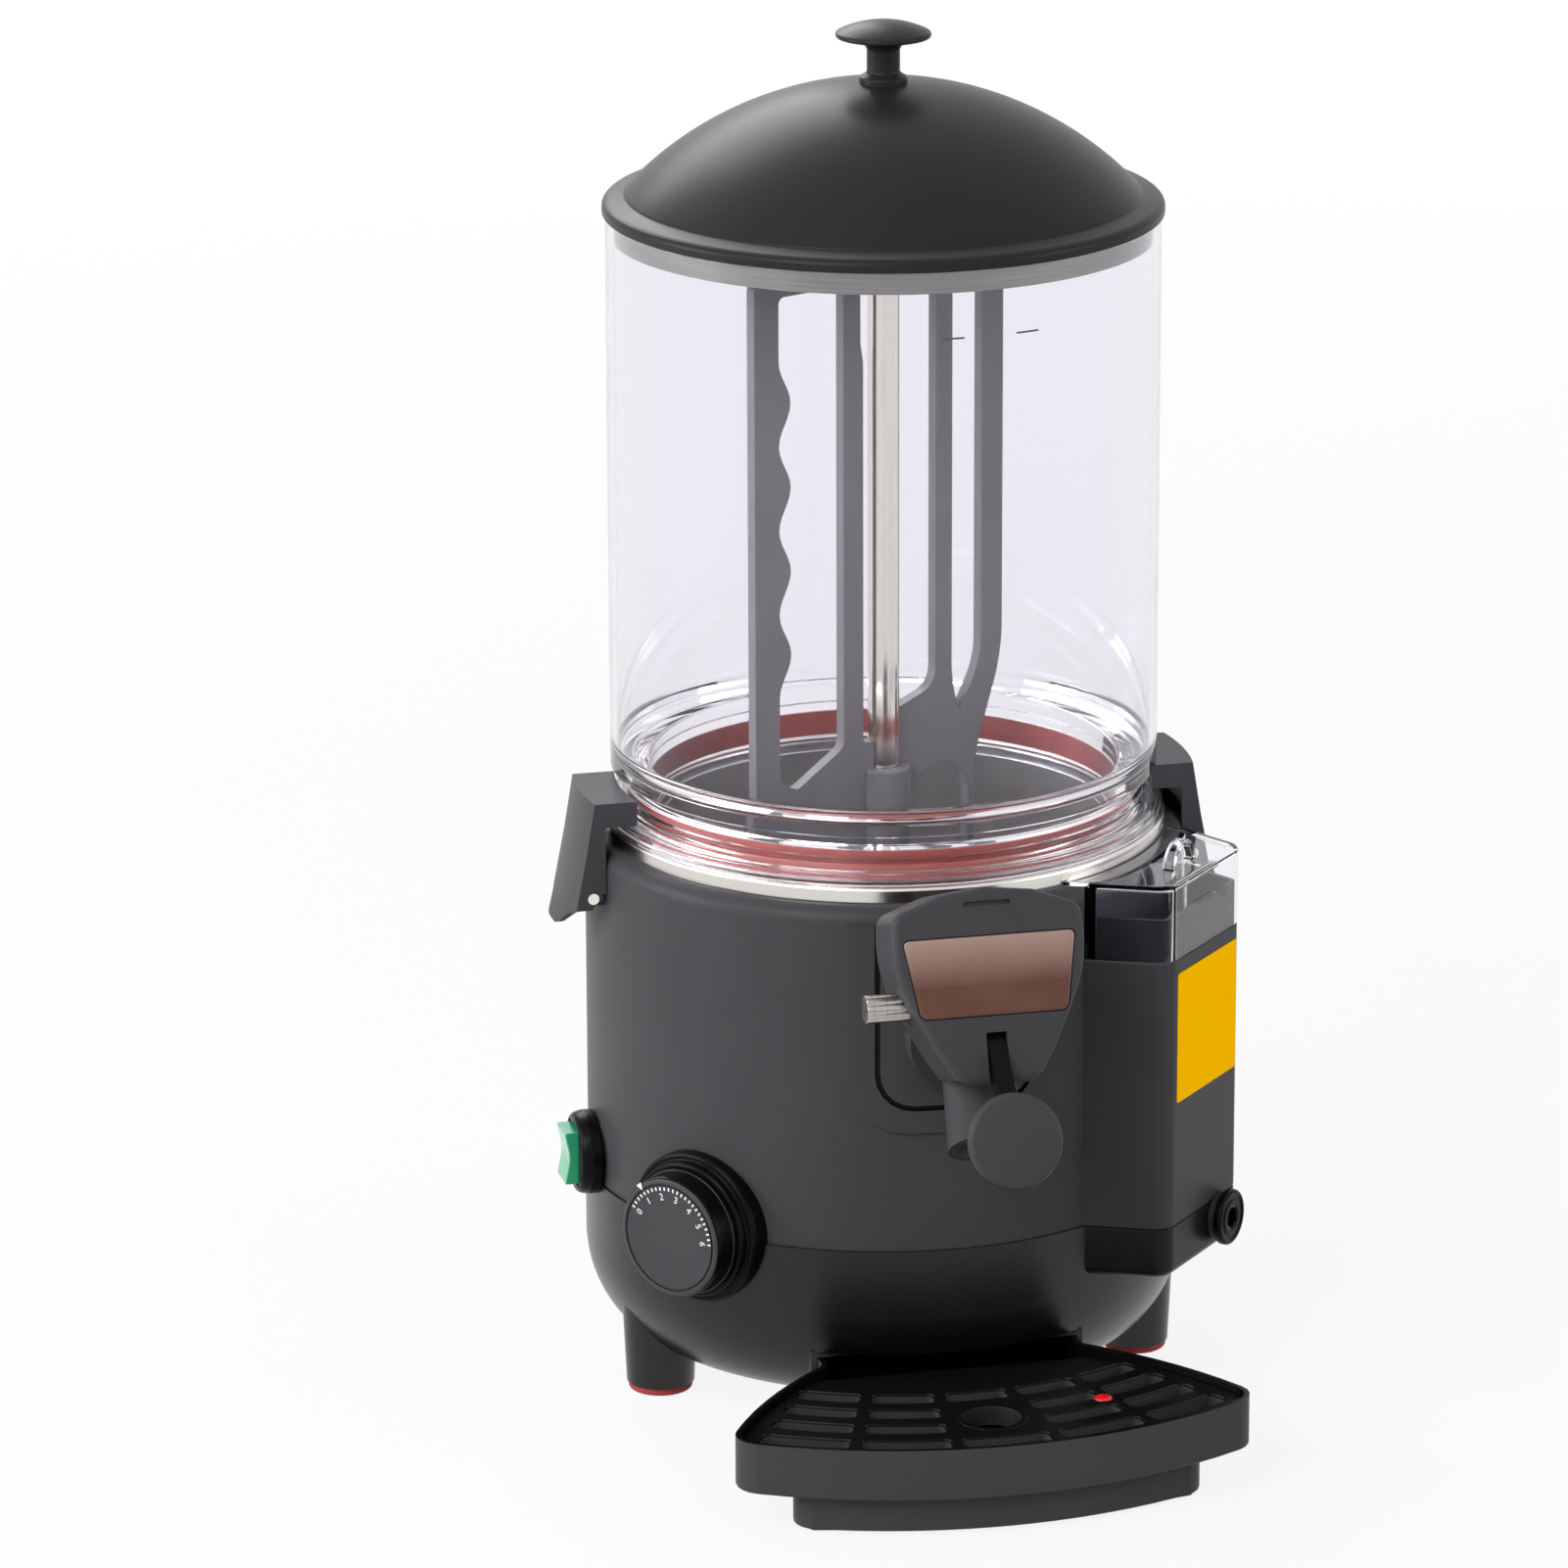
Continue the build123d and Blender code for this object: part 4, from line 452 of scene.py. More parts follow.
def evenNormals():
    bpy.ops.mesh.select_all(action="SELECT")
    bpy.ops.mesh.normals_make_consistent(inside=False)
    bpy.ops.object.mode_set(mode="OBJECT")


def closeEnds():
    # caps the open ends of the bar that is being edited
    bpy.ops.mesh.select_mode(type="EDGE")
    bpy.ops.mesh.select_all(action="DESELECT")
    bpy.ops.mesh.select_non_manifold()
    bpy.ops.mesh.edge_face_add()
    evenNormals()


def spinPiece(name, corners, steps):
    piece = drawLine(name, corners)
    bpy.ops.object.mode_set(mode="EDIT")
    bpy.ops.mesh.select_all(action="SELECT")
    bpy.ops.mesh.spin(steps=steps, angle=2 * pi, center=(0, 0, 0), axis=(0, 0, 1))
    bpy.ops.mesh.select_all(action="SELECT")
    bpy.ops.mesh.remove_doubles(threshold=0.002 * mm)
    evenNormals()
    return piece


def sweepRound(name, line, start, end, steps):
    # a section carried round the machine's axis between two angles counted from the front
    piece = standAt(drawLine(name, line), (0, 0, start - 90))
    bpy.ops.object.mode_set(mode="EDIT")
    bpy.ops.mesh.select_all(action="SELECT")
    bpy.ops.mesh.spin(steps=steps, angle=-radians(end - start), center=(0, 0, 0), axis=(0, 0, 1))
    closeEnds()
    return piece


def joinPieces(name, parts):
    takeUp(parts[0])
    for part in parts:
        part.select_set(True)
    if len(parts) > 1:
        bpy.ops.object.join()
    parts[0].name = name
    return parts[0]


def cutPlate(name, loops, thick, flat="XZ"):
    # the first loop is the edge, the others are holes; filled, then pulled to its thickness
    piece = joinPieces(name, [drawLine(name + "Line", loop, flat) for loop in loops])
    bpy.ops.object.mode_set(mode="EDIT")
    bpy.ops.mesh.select_all(action="SELECT")
    if len(loops) > 1:
        bpy.ops.mesh.fill(use_beauty=True)
    else:
        bpy.ops.mesh.edge_face_add()
    bpy.ops.mesh.select_all(action="SELECT")
    pull = (0, thick * mm, 0) if flat == "XZ" else (0, 0, thick * mm)
    bpy.ops.mesh.extrude_region_move(TRANSFORM_OT_translate={"value": pull})
    evenNormals()
    return piece


def standAt(piece, turn=(0, 0, 0), place=(0, 0, 0)):
    takeUp(piece)
    piece.rotation_euler = [radians(t) for t in turn]
    piece.location = Vector(place) * mm
    bpy.ops.object.transform_apply(location=True, rotation=True, scale=True)
    return piece


def applyLast(piece):
    takeUp(piece)
    bpy.ops.object.modifier_apply(modifier=piece.modifiers[-1].name)


def cutWith(piece, tool, way="DIFFERENCE"):
    trim = piece.modifiers.new("trim", "BOOLEAN")
    trim.operation = way
    trim.solver = "EXACT"
    trim.object = tool
    applyLast(piece)
    bpy.data.objects.remove(tool)


def barrel(radius, deep, place, turn=(0, 0, 0), sides=96):
    bpy.ops.object.select_all(action="DESELECT")
    bpy.ops.mesh.primitive_cylinder_add(vertices=sides, radius=radius * mm, depth=deep * mm)
    return standAt(bpy.context.object, turn, place)


def bodyRound(radius, height, deep=300):
    # a plug as round as the body, for the back of what sits against it
    return barrel(radius, deep, (0, 0, height), sides=256)


def brick(low, high):
    bpy.ops.object.select_all(action="DESELECT")
    bpy.ops.mesh.primitive_cube_add(size=mm)
    block = bpy.context.object
    block.scale = [b - a for a, b in zip(low, high)]
    return standAt(block, place=[(a + b) / 2 for a, b in zip(low, high)])


def softenEdges(piece, width, segments, angle=32):
    takeUp(piece)
    edge = piece.modifiers.new("softEdges", "BEVEL")
    edge.width = width * mm
    edge.segments = segments
    edge.limit_method = "ANGLE"
    edge.angle_limit = radians(angle)
    applyLast(piece)


def thicken(piece, thick, side):
    wall = piece.modifiers.new("wall", "SOLIDIFY")
    wall.thickness = thick * mm
    wall.offset = side
    applyLast(piece)


def settle(piece, finish, body, slotName, *stands, angle=38):
    takeUp(piece)
    bpy.ops.object.shade_smooth_by_angle(angle=radians(angle))
    even = piece.modifiers.new("evenShading", "WEIGHTED_NORMAL")
    even.keep_sharp = True
    applyLast(piece)
    piece.data.materials.clear()
    piece.data.materials.append(finish)
    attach(piece, body)
    if stands:
        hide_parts(*stands)


def secondFinish(piece, finish, test):
    # for the faces that a test picks by their middle, in mm, and by the way they face
    piece.data.materials.append(finish)
    for face in piece.data.polygons:
        face.material_index = 1 if test(face.center / mm, face.normal) else 0


# lid: a domed moulding with a brim, and the mushroom knob screwed on it
lid = {"middle": 406.8, "outer": 147.7, "inner": 145.5, "shoulder": 106.9, "mouth": 104.7, "brim": 116.7,
       "brimFoot": 500.5, "arcSteps": 20, "steps": 128}
lidLine = arcSpots((0, lid["middle"]), lid["outer"], asin(lid["shoulder"] / lid["outer"]), lid["arcSteps"])
lidLine += [(107.4, 507.7, 0.3), (108.6, 507.3, 0.3), (114.9, 505.9, 1.0), (lid["brim"], 504.4, 1.2)]
lidLine += [(lid["brim"], lid["brimFoot"], 0.6), (lid["mouth"], lid["brimFoot"], 0.4)]
lidLine += arcSpots((0, lid["middle"]), lid["inner"], asin(lid["mouth"] / lid["inner"]),
                    lid["arcSteps"])[::-1]
lidDome = spinPiece("lidDome", lidLine, lid["steps"])
settle(lidDome, lidPlastic, "lid", "dark_gloss", "lid_dome")

knob = {"top": 580.0, "crown": 43.2, "reach": 19.8, "neck": 6.9, "root": 10.0, "foot": 554.0, "soft": 0.7,
        "arcSteps": 10, "steps": 72}
crownMiddle = (0, knob["top"] - knob["crown"])
crownLine = arcSpots(crownMiddle, knob["crown"], asin(knob["reach"] / knob["crown"]), knob["arcSteps"])
crownEdge = crownLine[-1][1]
stalkLine = [(knob["reach"], 573.4, knob["soft"]), (9.5, 570.9, 1.5), (knob["neck"], 569.2, 1.5),
             (knob["neck"], 558.6, 0.8)]
stalkLine += [(knob["root"], 556.6, 0.6), (knob["root"], knob["foot"]), (0, knob["foot"])]
lidKnob = spinPiece("lidKnob", crownLine + stalkLine, knob["steps"])
pickEdges(lidKnob, lambda a, b: atHeight(crownEdge, a, b))
bpy.ops.mesh.bevel(offset=knob["soft"] * mm, segments=4)
bpy.ops.object.mode_set(mode="OBJECT")
settle(lidKnob, lidPlastic, "lid", "dark_gloss", "lid_knob")
print("lid turned")

# clear jar, wall 3 mm; its neck steps out twice on the way down to the foot
jar = {"out": 115.4, "inside": 112.4, "neck": 108.5, "step": 109.6, "band": 110.7, "foot": 118.0,
       "lip": 116.5, "seat": 114.6, "ringRoom": 106.0, "socket": 101.5, "throat": 98.7, "top": 500.5,
       "shoulder": 263.1, "flange": 248.0, "rest": 243.4, "steps": 160}
jarLine = [(jar["out"], jar["top"], 0.8), (jar["out"], jar["shoulder"], 1.6),
           (jar["neck"], jar["shoulder"], 0.8)]
jarLine += [(jar["neck"], 258.8, 0.4), (jar["step"], 258.2, 0.4), (jar["step"], 254.0, 0.4)]
jarLine += [(jar["band"], 253.4, 0.4), (jar["band"], 252.2, 0.3), (109.3, 251.4, 0.3), (109.3, 250.4, 0.3)]
jarLine += [(jar["band"], 249.6, 0.3), (jar["band"], jar["flange"], 0.6)]
jarLine += [(113, jar["flange"], 0.3), (113.4, 247.2, 0.3), (114.2, 247.2, 0.3), (114.6, jar["flange"], 0.3)]
jarLine += [(jar["lip"], jar["flange"], 0.5), (jar["lip"], 246.2, 0.4), (jar["foot"], 246, 0.5),
            (jar["foot"], jar["rest"], 0.6)]
jarLine += [(jar["seat"], jar["rest"], 0.5), (jar["seat"], 245.6, 0.5), (jar["ringRoom"], 245.6, 0.4)]
jarLine += [(jar["ringRoom"], 256.1, 0.4), (jar["socket"], 256.1, 0.4), (jar["socket"], 238.1, 0.6)]
jarLine += [(jar["throat"], 238.1, 0.6), (jar["throat"], 266.1, 1.5), (jar["inside"], 274.1, 2.0),
            (jar["inside"], jar["top"], 0.8)]
clearJar = spinPiece("clearJar", jarLine, jar["steps"])
settle(clearJar, clearPlastic, "body", "clear_plastic", "jar")

# silicone ring with two lips round its outside, squeezed in the foot
ring = {"inner": 102.3, "waist": 102.8, "lips": 105.9, "low": 244.8, "high": 255.7, "steps": 128}
ringLine = [(ring["inner"], ring["low"], 0.3), (103.2, ring["low"], 0.3), (ring["lips"], 245.6, 0.5)]
ringLine += [(ring["lips"], 248.4, 0.6), (ring["waist"], 249.4, 0.3), (ring["waist"], 251.8, 0.3)]
ringLine += [(ring["lips"], 252.6, 0.5), (ring["lips"], ring["high"], 0.5),
             (ring["inner"], ring["high"], 0.4)]
jarRing = spinPiece("jarRing", ringLine, ring["steps"])
settle(jarRing, redSilicone, "body", "silicone", "jar_gasket")

# drawn steel tub, its rolled rim shows under the jar; the feed tube to the tap leaves at the front
tub = {"rim": 118.9, "wall": 103.4, "sheet": 1.2, "hole": 6.75, "rimFoot": 236.6, "rimTop": 243.1,
       "floor": 171.3, "dullShadeReach": 103.0, "dullShadeTop": 241.0, "steps": 128}
feed = {"out": 11.0, "bore": 8.0, "height": 182.0, "long": 50.9, "middle": -127.65}
within, below = tub["wall"] - tub["sheet"], tub["rimTop"] - tub["sheet"]
tubLine = [(tub["rim"], tub["rimFoot"], 0.3), (tub["rim"], tub["rimTop"], 1.6), (within, tub["rimTop"], 2.0)]
tubLine += [(within, tub["floor"] + tub["sheet"], 6.0), (tub["hole"], tub["floor"] + tub["sheet"])]
tubLine += [(tub["hole"], tub["floor"]), (tub["wall"], tub["floor"], 7.0), (tub["wall"], below, 1.0)]
tubLine += [(tub["rim"] - tub["sheet"], below, 0.8), (tub["rim"] - tub["sheet"], tub["rimFoot"], 0.3)]
steelTub = spinPiece("steelTub", tubLine, tub["steps"])
cutWith(steelTub, barrel(feed["out"], 40, (0, -103, feed["height"]), (90, 0, 0), 48))
settle(steelTub, brushedSteel, "body", "steel", "tub")
# only the rim is brushed; the inside is duller, with painted shade darkening its colour
secondFinish(steelTub, blastedSteelPaintedShade, lambda c, n: c.xy.length < tub["dullShadeReach"] and c.z < tub["dullShadeTop"])

# plain level dashes printed on the jar: turned from the front in degrees, at one height
levelMarks = {"radius": 115.46, "thick": 0.08, "height": 472.9, "tall": 0.8,
              "spans": ((-2.2, 2.6), (13.9, 19.0)), "steps": 8}
low, high = levelMarks["height"] - levelMarks["tall"] / 2, levelMarks["height"] + levelMarks["tall"] / 2
markLine = oblong(levelMarks["radius"], low, levelMarks["radius"] + levelMarks["thick"], high)
for i, (start, end) in enumerate(levelMarks["spans"]):
    mark = sweepRound("levelMark" + str(i + 1), markLine, start, end, levelMarks["steps"])
    settle(mark, greyInk, "body", "clear_plastic")
print("jar and tub turned")

# agitator: one flat moulding with its openings, standing turned in the jar; (across, up) in its own plane
agitator = {"thick": 5.0, "turn": 24.2, "left": -69.0, "right": 62.15, "leg": 47.5, "foot": 181.0,
            "top": 478.3, "bar": 471.8, "blade": -56.5, "bump": 6.0, "bumpTop": 426.5, "bumps": 4,
            "pitch": 36.0, "waveSteps": 12, "arch": (28, 242, 16), "web": 273.0, "hub": 11.5, "hubTop": 261.0,
            "bore": 7.15, "screw": 4.0, "core": 2.0, "soft": 0.7, "hubSteps": 64}
top, bar, web, foot = agitator["top"], agitator["bar"], agitator["web"], agitator["foot"]
blade, right = agitator["blade"], agitator["right"]
across, up, reach = agitator["arch"]
edgeLine = [(agitator["left"], top, 2.5), (agitator["left"], foot, 4), (across - reach, foot, 1.5),
            (across - reach, up)]
edgeLine += [(across - reach * cos(radians(a)), up + reach * sin(radians(a))) for a in range(15, 180, 15)]
edgeLine += [(across + reach, up), (across + reach, foot, 1), (agitator["leg"], foot, 1.5),
             (agitator["leg"], 258, 10)]
edgeLine += [(right, 300, 12), (right, top, 2.5)]
scallops = []
for i in range(agitator["waveSteps"] * agitator["bumps"] + 1):
    share = i / agitator["waveSteps"]
    out = agitator["bump"] / 2 * (1 - cos(2 * pi * share))
    scallops.append((blade + out, agitator["bumpTop"] + agitator["pitch"] * (0.5 - share)))
bladeHole = [(blade, bar, 3)] + scallops
bladeHole += [(blade, 263.5, 3), (-47.5, 259, 1.5), (-23, web, 3), (-23, bar, 3)]
midHole = [(-14, bar, 3), (-14, 446), (-12.6, 438), (-12.6, web, 2), (0, web), (0, 283.5), (26, 292, 7),
           (26, bar, 3)]
forkHole = [(34.8, bar, 3), (34.8, 293, 7), (38.8, 278, 1.5), (50.65, 299, 8), (50.65, bar, 3)]
paddle = cutPlate("stirPaddle", [edgeLine, bladeHole, midHole, forkHole], agitator["thick"])
standAt(paddle, place=(0, -agitator["thick"] / 2, 0))
softenEdges(paddle, agitator["soft"], 2, 50)
hub, hubTop, core, hubSteps = agitator["hub"], agitator["hubTop"], agitator["core"], agitator["hubSteps"]
hubs = joinPieces("paddleHubs", [
    spinPiece("lowHub", [(core, foot), (hub, foot, 0.8), (hub, hubTop, 1.2), (core, hubTop)], hubSteps),
    spinPiece("topHub", [(core, bar), (hub, bar, 0.8), (hub, top, 0.8), (core, top)], hubSteps)])
cutWith(paddle, hubs, "UNION")
cutWith(paddle, barrel(agitator["bore"], 300, (0, 0, 321)))
cutWith(paddle, barrel(agitator["screw"], 40, (0, 0, 478)))
standAt(paddle, (0, 0, agitator["turn"]))
settle(paddle, greyAcetal, "stirrer", "agitator_grey", "agitator")

cap = {"bore": 4.02, "out": 9.5, "foot": 478.4, "roof": 481.5, "top": 483.3, "steps": 48}
capLine = [(cap["bore"], cap["foot"]), (cap["out"], cap["foot"], 0.5), (cap["out"], cap["top"], 1.8),
           (0, cap["top"])]
capLine += [(0, cap["roof"]), (cap["bore"], cap["roof"])]
paddleCap = spinPiece("paddleCap", capLine, cap["steps"])
settle(paddleCap, greyAcetal, "stirrer", "agitator_grey", "agitator_cap")
print("agitator cut")

# tap: everything is drawn upright round its pin and then leaned back into place
tap = {"lean": (-19, 0, 0), "place": (0, -172, 211), "front": -15.8, "back": 14.2, "wall": 2.4, "round": 3.0,
       "rollSteps": 5, "leverHalf": 4.3, "leverTop": -13.0, "mouthHalf": 20.0, "mouthTop": -31.6,
       "spoutRoom": 15.4, "pinHole": 5.9, "spout": 20.0}
window = {"corners": [(-36.4, 26.5, 3), (36.4, 26.5, 3), (31, -6.5, 3), (-31, -6.5, 3)], "middle": 10.0,
          "fit": (0.984, 0.966), "corner": 2.6, "thick": 1.6, "front": -15.55,
          "crown": ((0.7, 0.35), (1.4, 0.25))}


def leanBack(piece):
    return standAt(piece, tap["lean"], tap["place"])


coverRight = [(20, 43.6), (39.4, 36.4, 4), (40.4, 18, 8), (36.8, 5), (30.8, -8), (24.2, -21), (16, -34, 5)]
tapCover = drawLine("tapCover", [(0, 45.9)] + coverRight + mirrored(coverRight), segments=8)
bpy.ops.object.mode_set(mode="EDIT")
bpy.ops.mesh.select_all(action="SELECT")
bpy.ops.mesh.edge_face_add()
bpy.ops.transform.translate(value=(0, tap["back"] * mm, 0))
flank = (0, (tap["front"] + tap["round"] - tap["back"]) * mm, 0)
bpy.ops.mesh.extrude_region_move(TRANSFORM_OT_translate={"value": flank})
evenNormals()
pickFaces(tapCover, lambda c, n: n.y < -0.99)
for i in range(tap["rollSteps"]):                  # the front edge rolls over in steps
    last, now = radians(90 * i / tap["rollSteps"]), radians(90 * (i + 1) / tap["rollSteps"])
    inward, forward = tap["round"] * (cos(last) - cos(now)), tap["round"] * (sin(now) - sin(last))
    bpy.ops.mesh.inset(thickness=inward * mm, depth=forward * mm)
pickFaces(tapCover, lambda c, n: n.y > 0.99)       # the back stays open
bpy.ops.mesh.delete(type="FACE")
bpy.ops.object.mode_set(mode="OBJECT")
thicken(tapCover, tap["wall"], -1)
cutWith(tapCover, standAt(cutPlate("panePocket", [window["corners"]], 4), place=(0, -18, 0)))
cutWith(tapCover, brick((-tap["leverHalf"], -30, -70), (tap["leverHalf"], 0, tap["leverTop"])))
mouthFront = tap["front"] + tap["wall"]
cutWith(tapCover, brick((-tap["mouthHalf"], mouthFront, -70), (tap["mouthHalf"], 30, tap["mouthTop"])))
cutWith(tapCover, barrel(tap["spoutRoom"], 56, (0, tap["spout"], -37)))
cutWith(tapCover, barrel(tap["pinHole"], 60, (-30, 0, 0), (0, 90, 0), 40))
# slot for a finger nail
nailLine = [(-9.5, 40.2, 0.6), (9.5, 40.2, 0.6), (10, 38.2, 0.6), (-10, 38.2, 0.6)]
cutWith(tapCover, standAt(cutPlate("nailSlot", [nailLine], 4), place=(0, -18.2, 0)))
leanBack(tapCover)
settle(tapCover, blackAbs, "body", "body_plastic", "tap_cover", angle=30)

# window pane, crowned a little and set flush in its pocket
wide, tall = window["fit"]
middle, soft = window["middle"], window["corner"]
paneLine = [(x * wide, middle + (z - middle) * tall, soft) for x, z, r in window["corners"]]
pane = cutPlate("tapPane", [paneLine], window["thick"])
pickFaces(pane, lambda c, n: n.y < -0.9)
for inward, rise in window["crown"]:
    bpy.ops.mesh.inset(thickness=inward * mm, depth=rise * mm)
bpy.ops.object.mode_set(mode="OBJECT")
standAt(pane, place=(0, window["front"], 0))
leanBack(pane)
settle(pane, brownAcrylic, "body", "window_brown", "tap_window", angle=60)

# round push plate on the end of the lever
push = {"radius": 19.5, "back": -4.0, "front": 4.0, "place": (0, -33, -57), "steps": 72}
pushLine = [(0, push["back"]), (18.4, push["back"], 1.2), (push["radius"], -2.5, 1),
            (push["radius"], 0.6, 1.2)]
pushLine += [(18.6, 2.4, 1.5), (12, 3.5), (6, 3.9), (0, push["front"])]
pushPlate = spinPiece("pushPlate", pushLine, push["steps"])
standAt(pushPlate, (90, 0, 0), push["place"])
leanBack(pushPlate)
settle(pushPlate, blackAbs, "lever", "body_plastic", "push_knob", angle=50)

# pivot pin with flutes rolled along its end
pin = {"radius": 5.8, "left": -50.0, "right": 34.0, "soft": 0.6, "flutes": 10, "flute": 1.1,
       "fluteLong": 26.0, "fluteMiddle": -40.0, "fluteOut": 0.35, "steps": 60}
pinLine = [(0, pin["left"]), (pin["radius"], pin["left"], pin["soft"]),
           (pin["radius"], pin["right"], pin["soft"]), (0, pin["right"])]
flutedPin = spinPiece("flutedPin", pinLine, pin["steps"])
fluteSpot = (pin["radius"] + pin["fluteOut"], 0, pin["fluteMiddle"])
cutter = barrel(pin["flute"], pin["fluteLong"], fluteSpot, sides=12)
cutters = [cutter]
for i in range(1, pin["flutes"]):
    takeUp(cutter)
    bpy.ops.object.duplicate()
    cutters.append(standAt(bpy.context.object, (0, 0, 360 * i / pin["flutes"])))
cutWith(flutedPin, joinPieces("fluteCutters", cutters))
standAt(flutedPin, (0, 90, 0))
leanBack(flutedPin)
settle(flutedPin, turnedSteel, "body", "pin_steel", "tap_pin", angle=30)
print("tap modelled")

# valve body behind the cover: a tube with a slanted mouth, ears for the pin, a yoke over them, the feed tube
valve = {"radius": 15.0, "bore": 11.0, "low": -65.0, "high": -9.5, "near": 13.0, "far": 17.5, "slant": -20.0,
         "mouth": -59.5, "ear": 9.0, "arm": (12.0, 28.0), "armTop": 34.0, "web": (27.5, -17.0),
         "yoke": (30.0, 33.5), "soft": 0.5}
near, far = valve["arm"]
root, under = valve["web"]
earLine = arcSpots((0, 0), valve["ear"], -pi, 12)
earLine += [(0, under), (root, under), (root, valve["ear"]), (far, valve["ear"])]
earLine += [(far, valve["armTop"], 1.5), (near, valve["armTop"], 1.5), (near, valve["ear"])]
middle = (0, tap["spout"], (valve["low"] + valve["high"]) / 2)
valveBody = barrel(valve["radius"], valve["high"] - valve["low"], middle, sides=72)
valveBody.name = "valveBody"
for shift in (valve["far"], -valve["near"]):
    ear = cutPlate("valveEar", [earLine], valve["far"] - valve["near"])
    cutWith(valveBody, standAt(ear, (0, 0, 90), (shift, 0, 0)), "UNION")
cutWith(valveBody, brick((-15, 12.5, valve["yoke"][0]), (15, root, valve["yoke"][1])), "UNION")
cutWith(valveBody, barrel(pin["radius"], 60, (0, 0, 0), (0, 90, 0), 40))
slanted = brick((-30, -40, -40), (30, 40, 0))
cutWith(valveBody, standAt(slanted, (valve["slant"], 0, 0), (0, tap["spout"], valve["mouth"])))
leanBack(valveBody)
feedTube = barrel(feed["out"], feed["long"], (0, feed["middle"], feed["height"]), (90, 0, 0), 48)
cutWith(valveBody, feedTube, "UNION")
cutWith(valveBody, leanBack(barrel(valve["bore"], 95, (0, tap["spout"], -32.5), sides=72)))
cutWith(valveBody, barrel(feed["bore"], 52, (0, -127.2, feed["height"]), (90, 0, 0), 40))
softenEdges(valveBody, valve["soft"], 2, 50)
settle(valveBody, blackAbs, "body", "body_plastic", "valve_body", angle=30)

# return spring between the piston and the yoke, wound by a screw
spring = {"radius": 5.0, "wire": 0.6, "wireSides": 12, "low": 6.6, "high": 29.4, "turns": 8, "turnSteps": 24,
          "pressed": 0.61}
wireTurns = [2 * pi * i / spring["wireSides"] for i in range(spring["wireSides"])]
wireLine = [(spring["radius"] + spring["wire"] * cos(a), spring["wire"] * sin(a)) for a in wireTurns]
tapSpring = drawLine("tapSpring", wireLine)
coil = tapSpring.modifiers.new("coil", "SCREW")
coil.steps = spring["turnSteps"]
coil.render_steps = spring["turnSteps"]
coil.iterations = spring["turns"]
coil.screw_offset = (spring["high"] - spring["low"]) / spring["turns"] * mm
applyLast(tapSpring)
bpy.ops.object.mode_set(mode="EDIT")
closeEnds()
standAt(tapSpring, place=(0, tap["spout"], spring["low"]))
leanBack(tapSpring)
settle(tapSpring, polishedSteel, "body", "pin_steel", "tap_spring", angle=50)
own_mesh(tapSpring)

# panel behind the tap: a thin shield wrapped on the body with a line cut round inside its edge, painted dark
# inside as shade
panel = {"skin": (126.5, 128.0), "foot": 140.0, "top": 229.6, "half": 45.0, "corner": 24.0, "line": 34.0,
         "lineFoot": 149.7, "lineCorner": 16.0, "wide": 2.2, "floor": 126.8, "feedHole": 11.4}
inner, outer = panel["skin"]
shieldLine = [(-panel["half"], panel["top"]), (panel["half"], panel["top"])]
shieldLine += [(panel["half"], panel["foot"], panel["corner"]),
               (-panel["half"], panel["foot"], panel["corner"])]
tapPanel = standAt(cutPlate("tapPanel", [shieldLine], 60), place=(0, -160, 0))
cutWith(tapPanel, spinPiece("panelSkin", oblong(inner, 130, outer, 240), 256), "INTERSECT")
outside = [(-panel["line"], 260), (-panel["line"], panel["lineFoot"], panel["lineCorner"])]
edge = panel["line"] - panel["wide"]
inside = [(-edge, panel["lineFoot"] + panel["wide"], panel["lineCorner"] - panel["wide"]), (-edge, 260)]
grooveLine = outside + mirrored(outside) + mirrored(inside) + inside
groove = standAt(cutPlate("panelLine", [grooveLine], 60), place=(0, -160, 0))
cutWith(groove, bodyRound(panel["floor"], 190, 200))
cutWith(tapPanel, groove)
cutWith(tapPanel, barrel(panel["feedHole"], 60, (0, -127, feed["height"]), (90, 0, 0), 48))
settle(tapPanel, blackAbs, "body", "body_plastic", "tap_panel", angle=30)


def inGroove(c, n):
    inSkin = inner + 0.2 < c.xy.length < outer - 0.05
    return inSkin and abs(c.x) < panel["line"] + 0.3 and c.z > panel["lineFoot"] - 0.3


secondFinish(tapPanel, polishedAbs, inGroove)          # painted shade: the line's faces get the near-black gloss, standing for the shade deep in the gap
print("valve and panel modelled")

# water box: flared in plan, drawn at the front and turned to its corner; across, out
waterBox = {"turn": (0, 0, 48), "far": 152.5, "half": 34.0, "root": 106.0, "flare": 0.3307, "corner": 6.5,
            "least": 1.5, "foot": 66.0, "seam": 88.0, "shelf": 205.0, "collar": 223.0, "collarTall": 18.5,
            "top": 238.0, "wall": 2.2, "collarOut": 2.6, "collarIn": 5.1, "seat": 126.5, "collarSeat": 129.1,
            "footSeat": 127.7, "topSeat": 126.7, "rimSeat": 119.7, "rimTop": 236.9, "edgeRound": 1.2,
            "seamRound": 0.9, "footRound": 4.0, "collarSoft": 0.4, "rimWide": 1.8, "rimStep": 0.5,
            "rimDeep": 0.9}


def boxPlan(inset):
    far = waterBox["far"] - inset
    half = waterBox["half"] + inset * waterBox["flare"] - inset * sqrt(1 + waterBox["flare"] ** 2)
    near = half + (far - waterBox["root"]) * waterBox["flare"]
    turn = max(waterBox["corner"] - inset, waterBox["least"])
    return [(-near, -waterBox["root"]), (near, -waterBox["root"]), (half, -far, turn), (-half, -far, turn)]


def boxBlock(name, inset, low, high):
    return standAt(cutPlate(name, [boxPlan(inset)], high - low, "XY"), place=(0, 0, low))


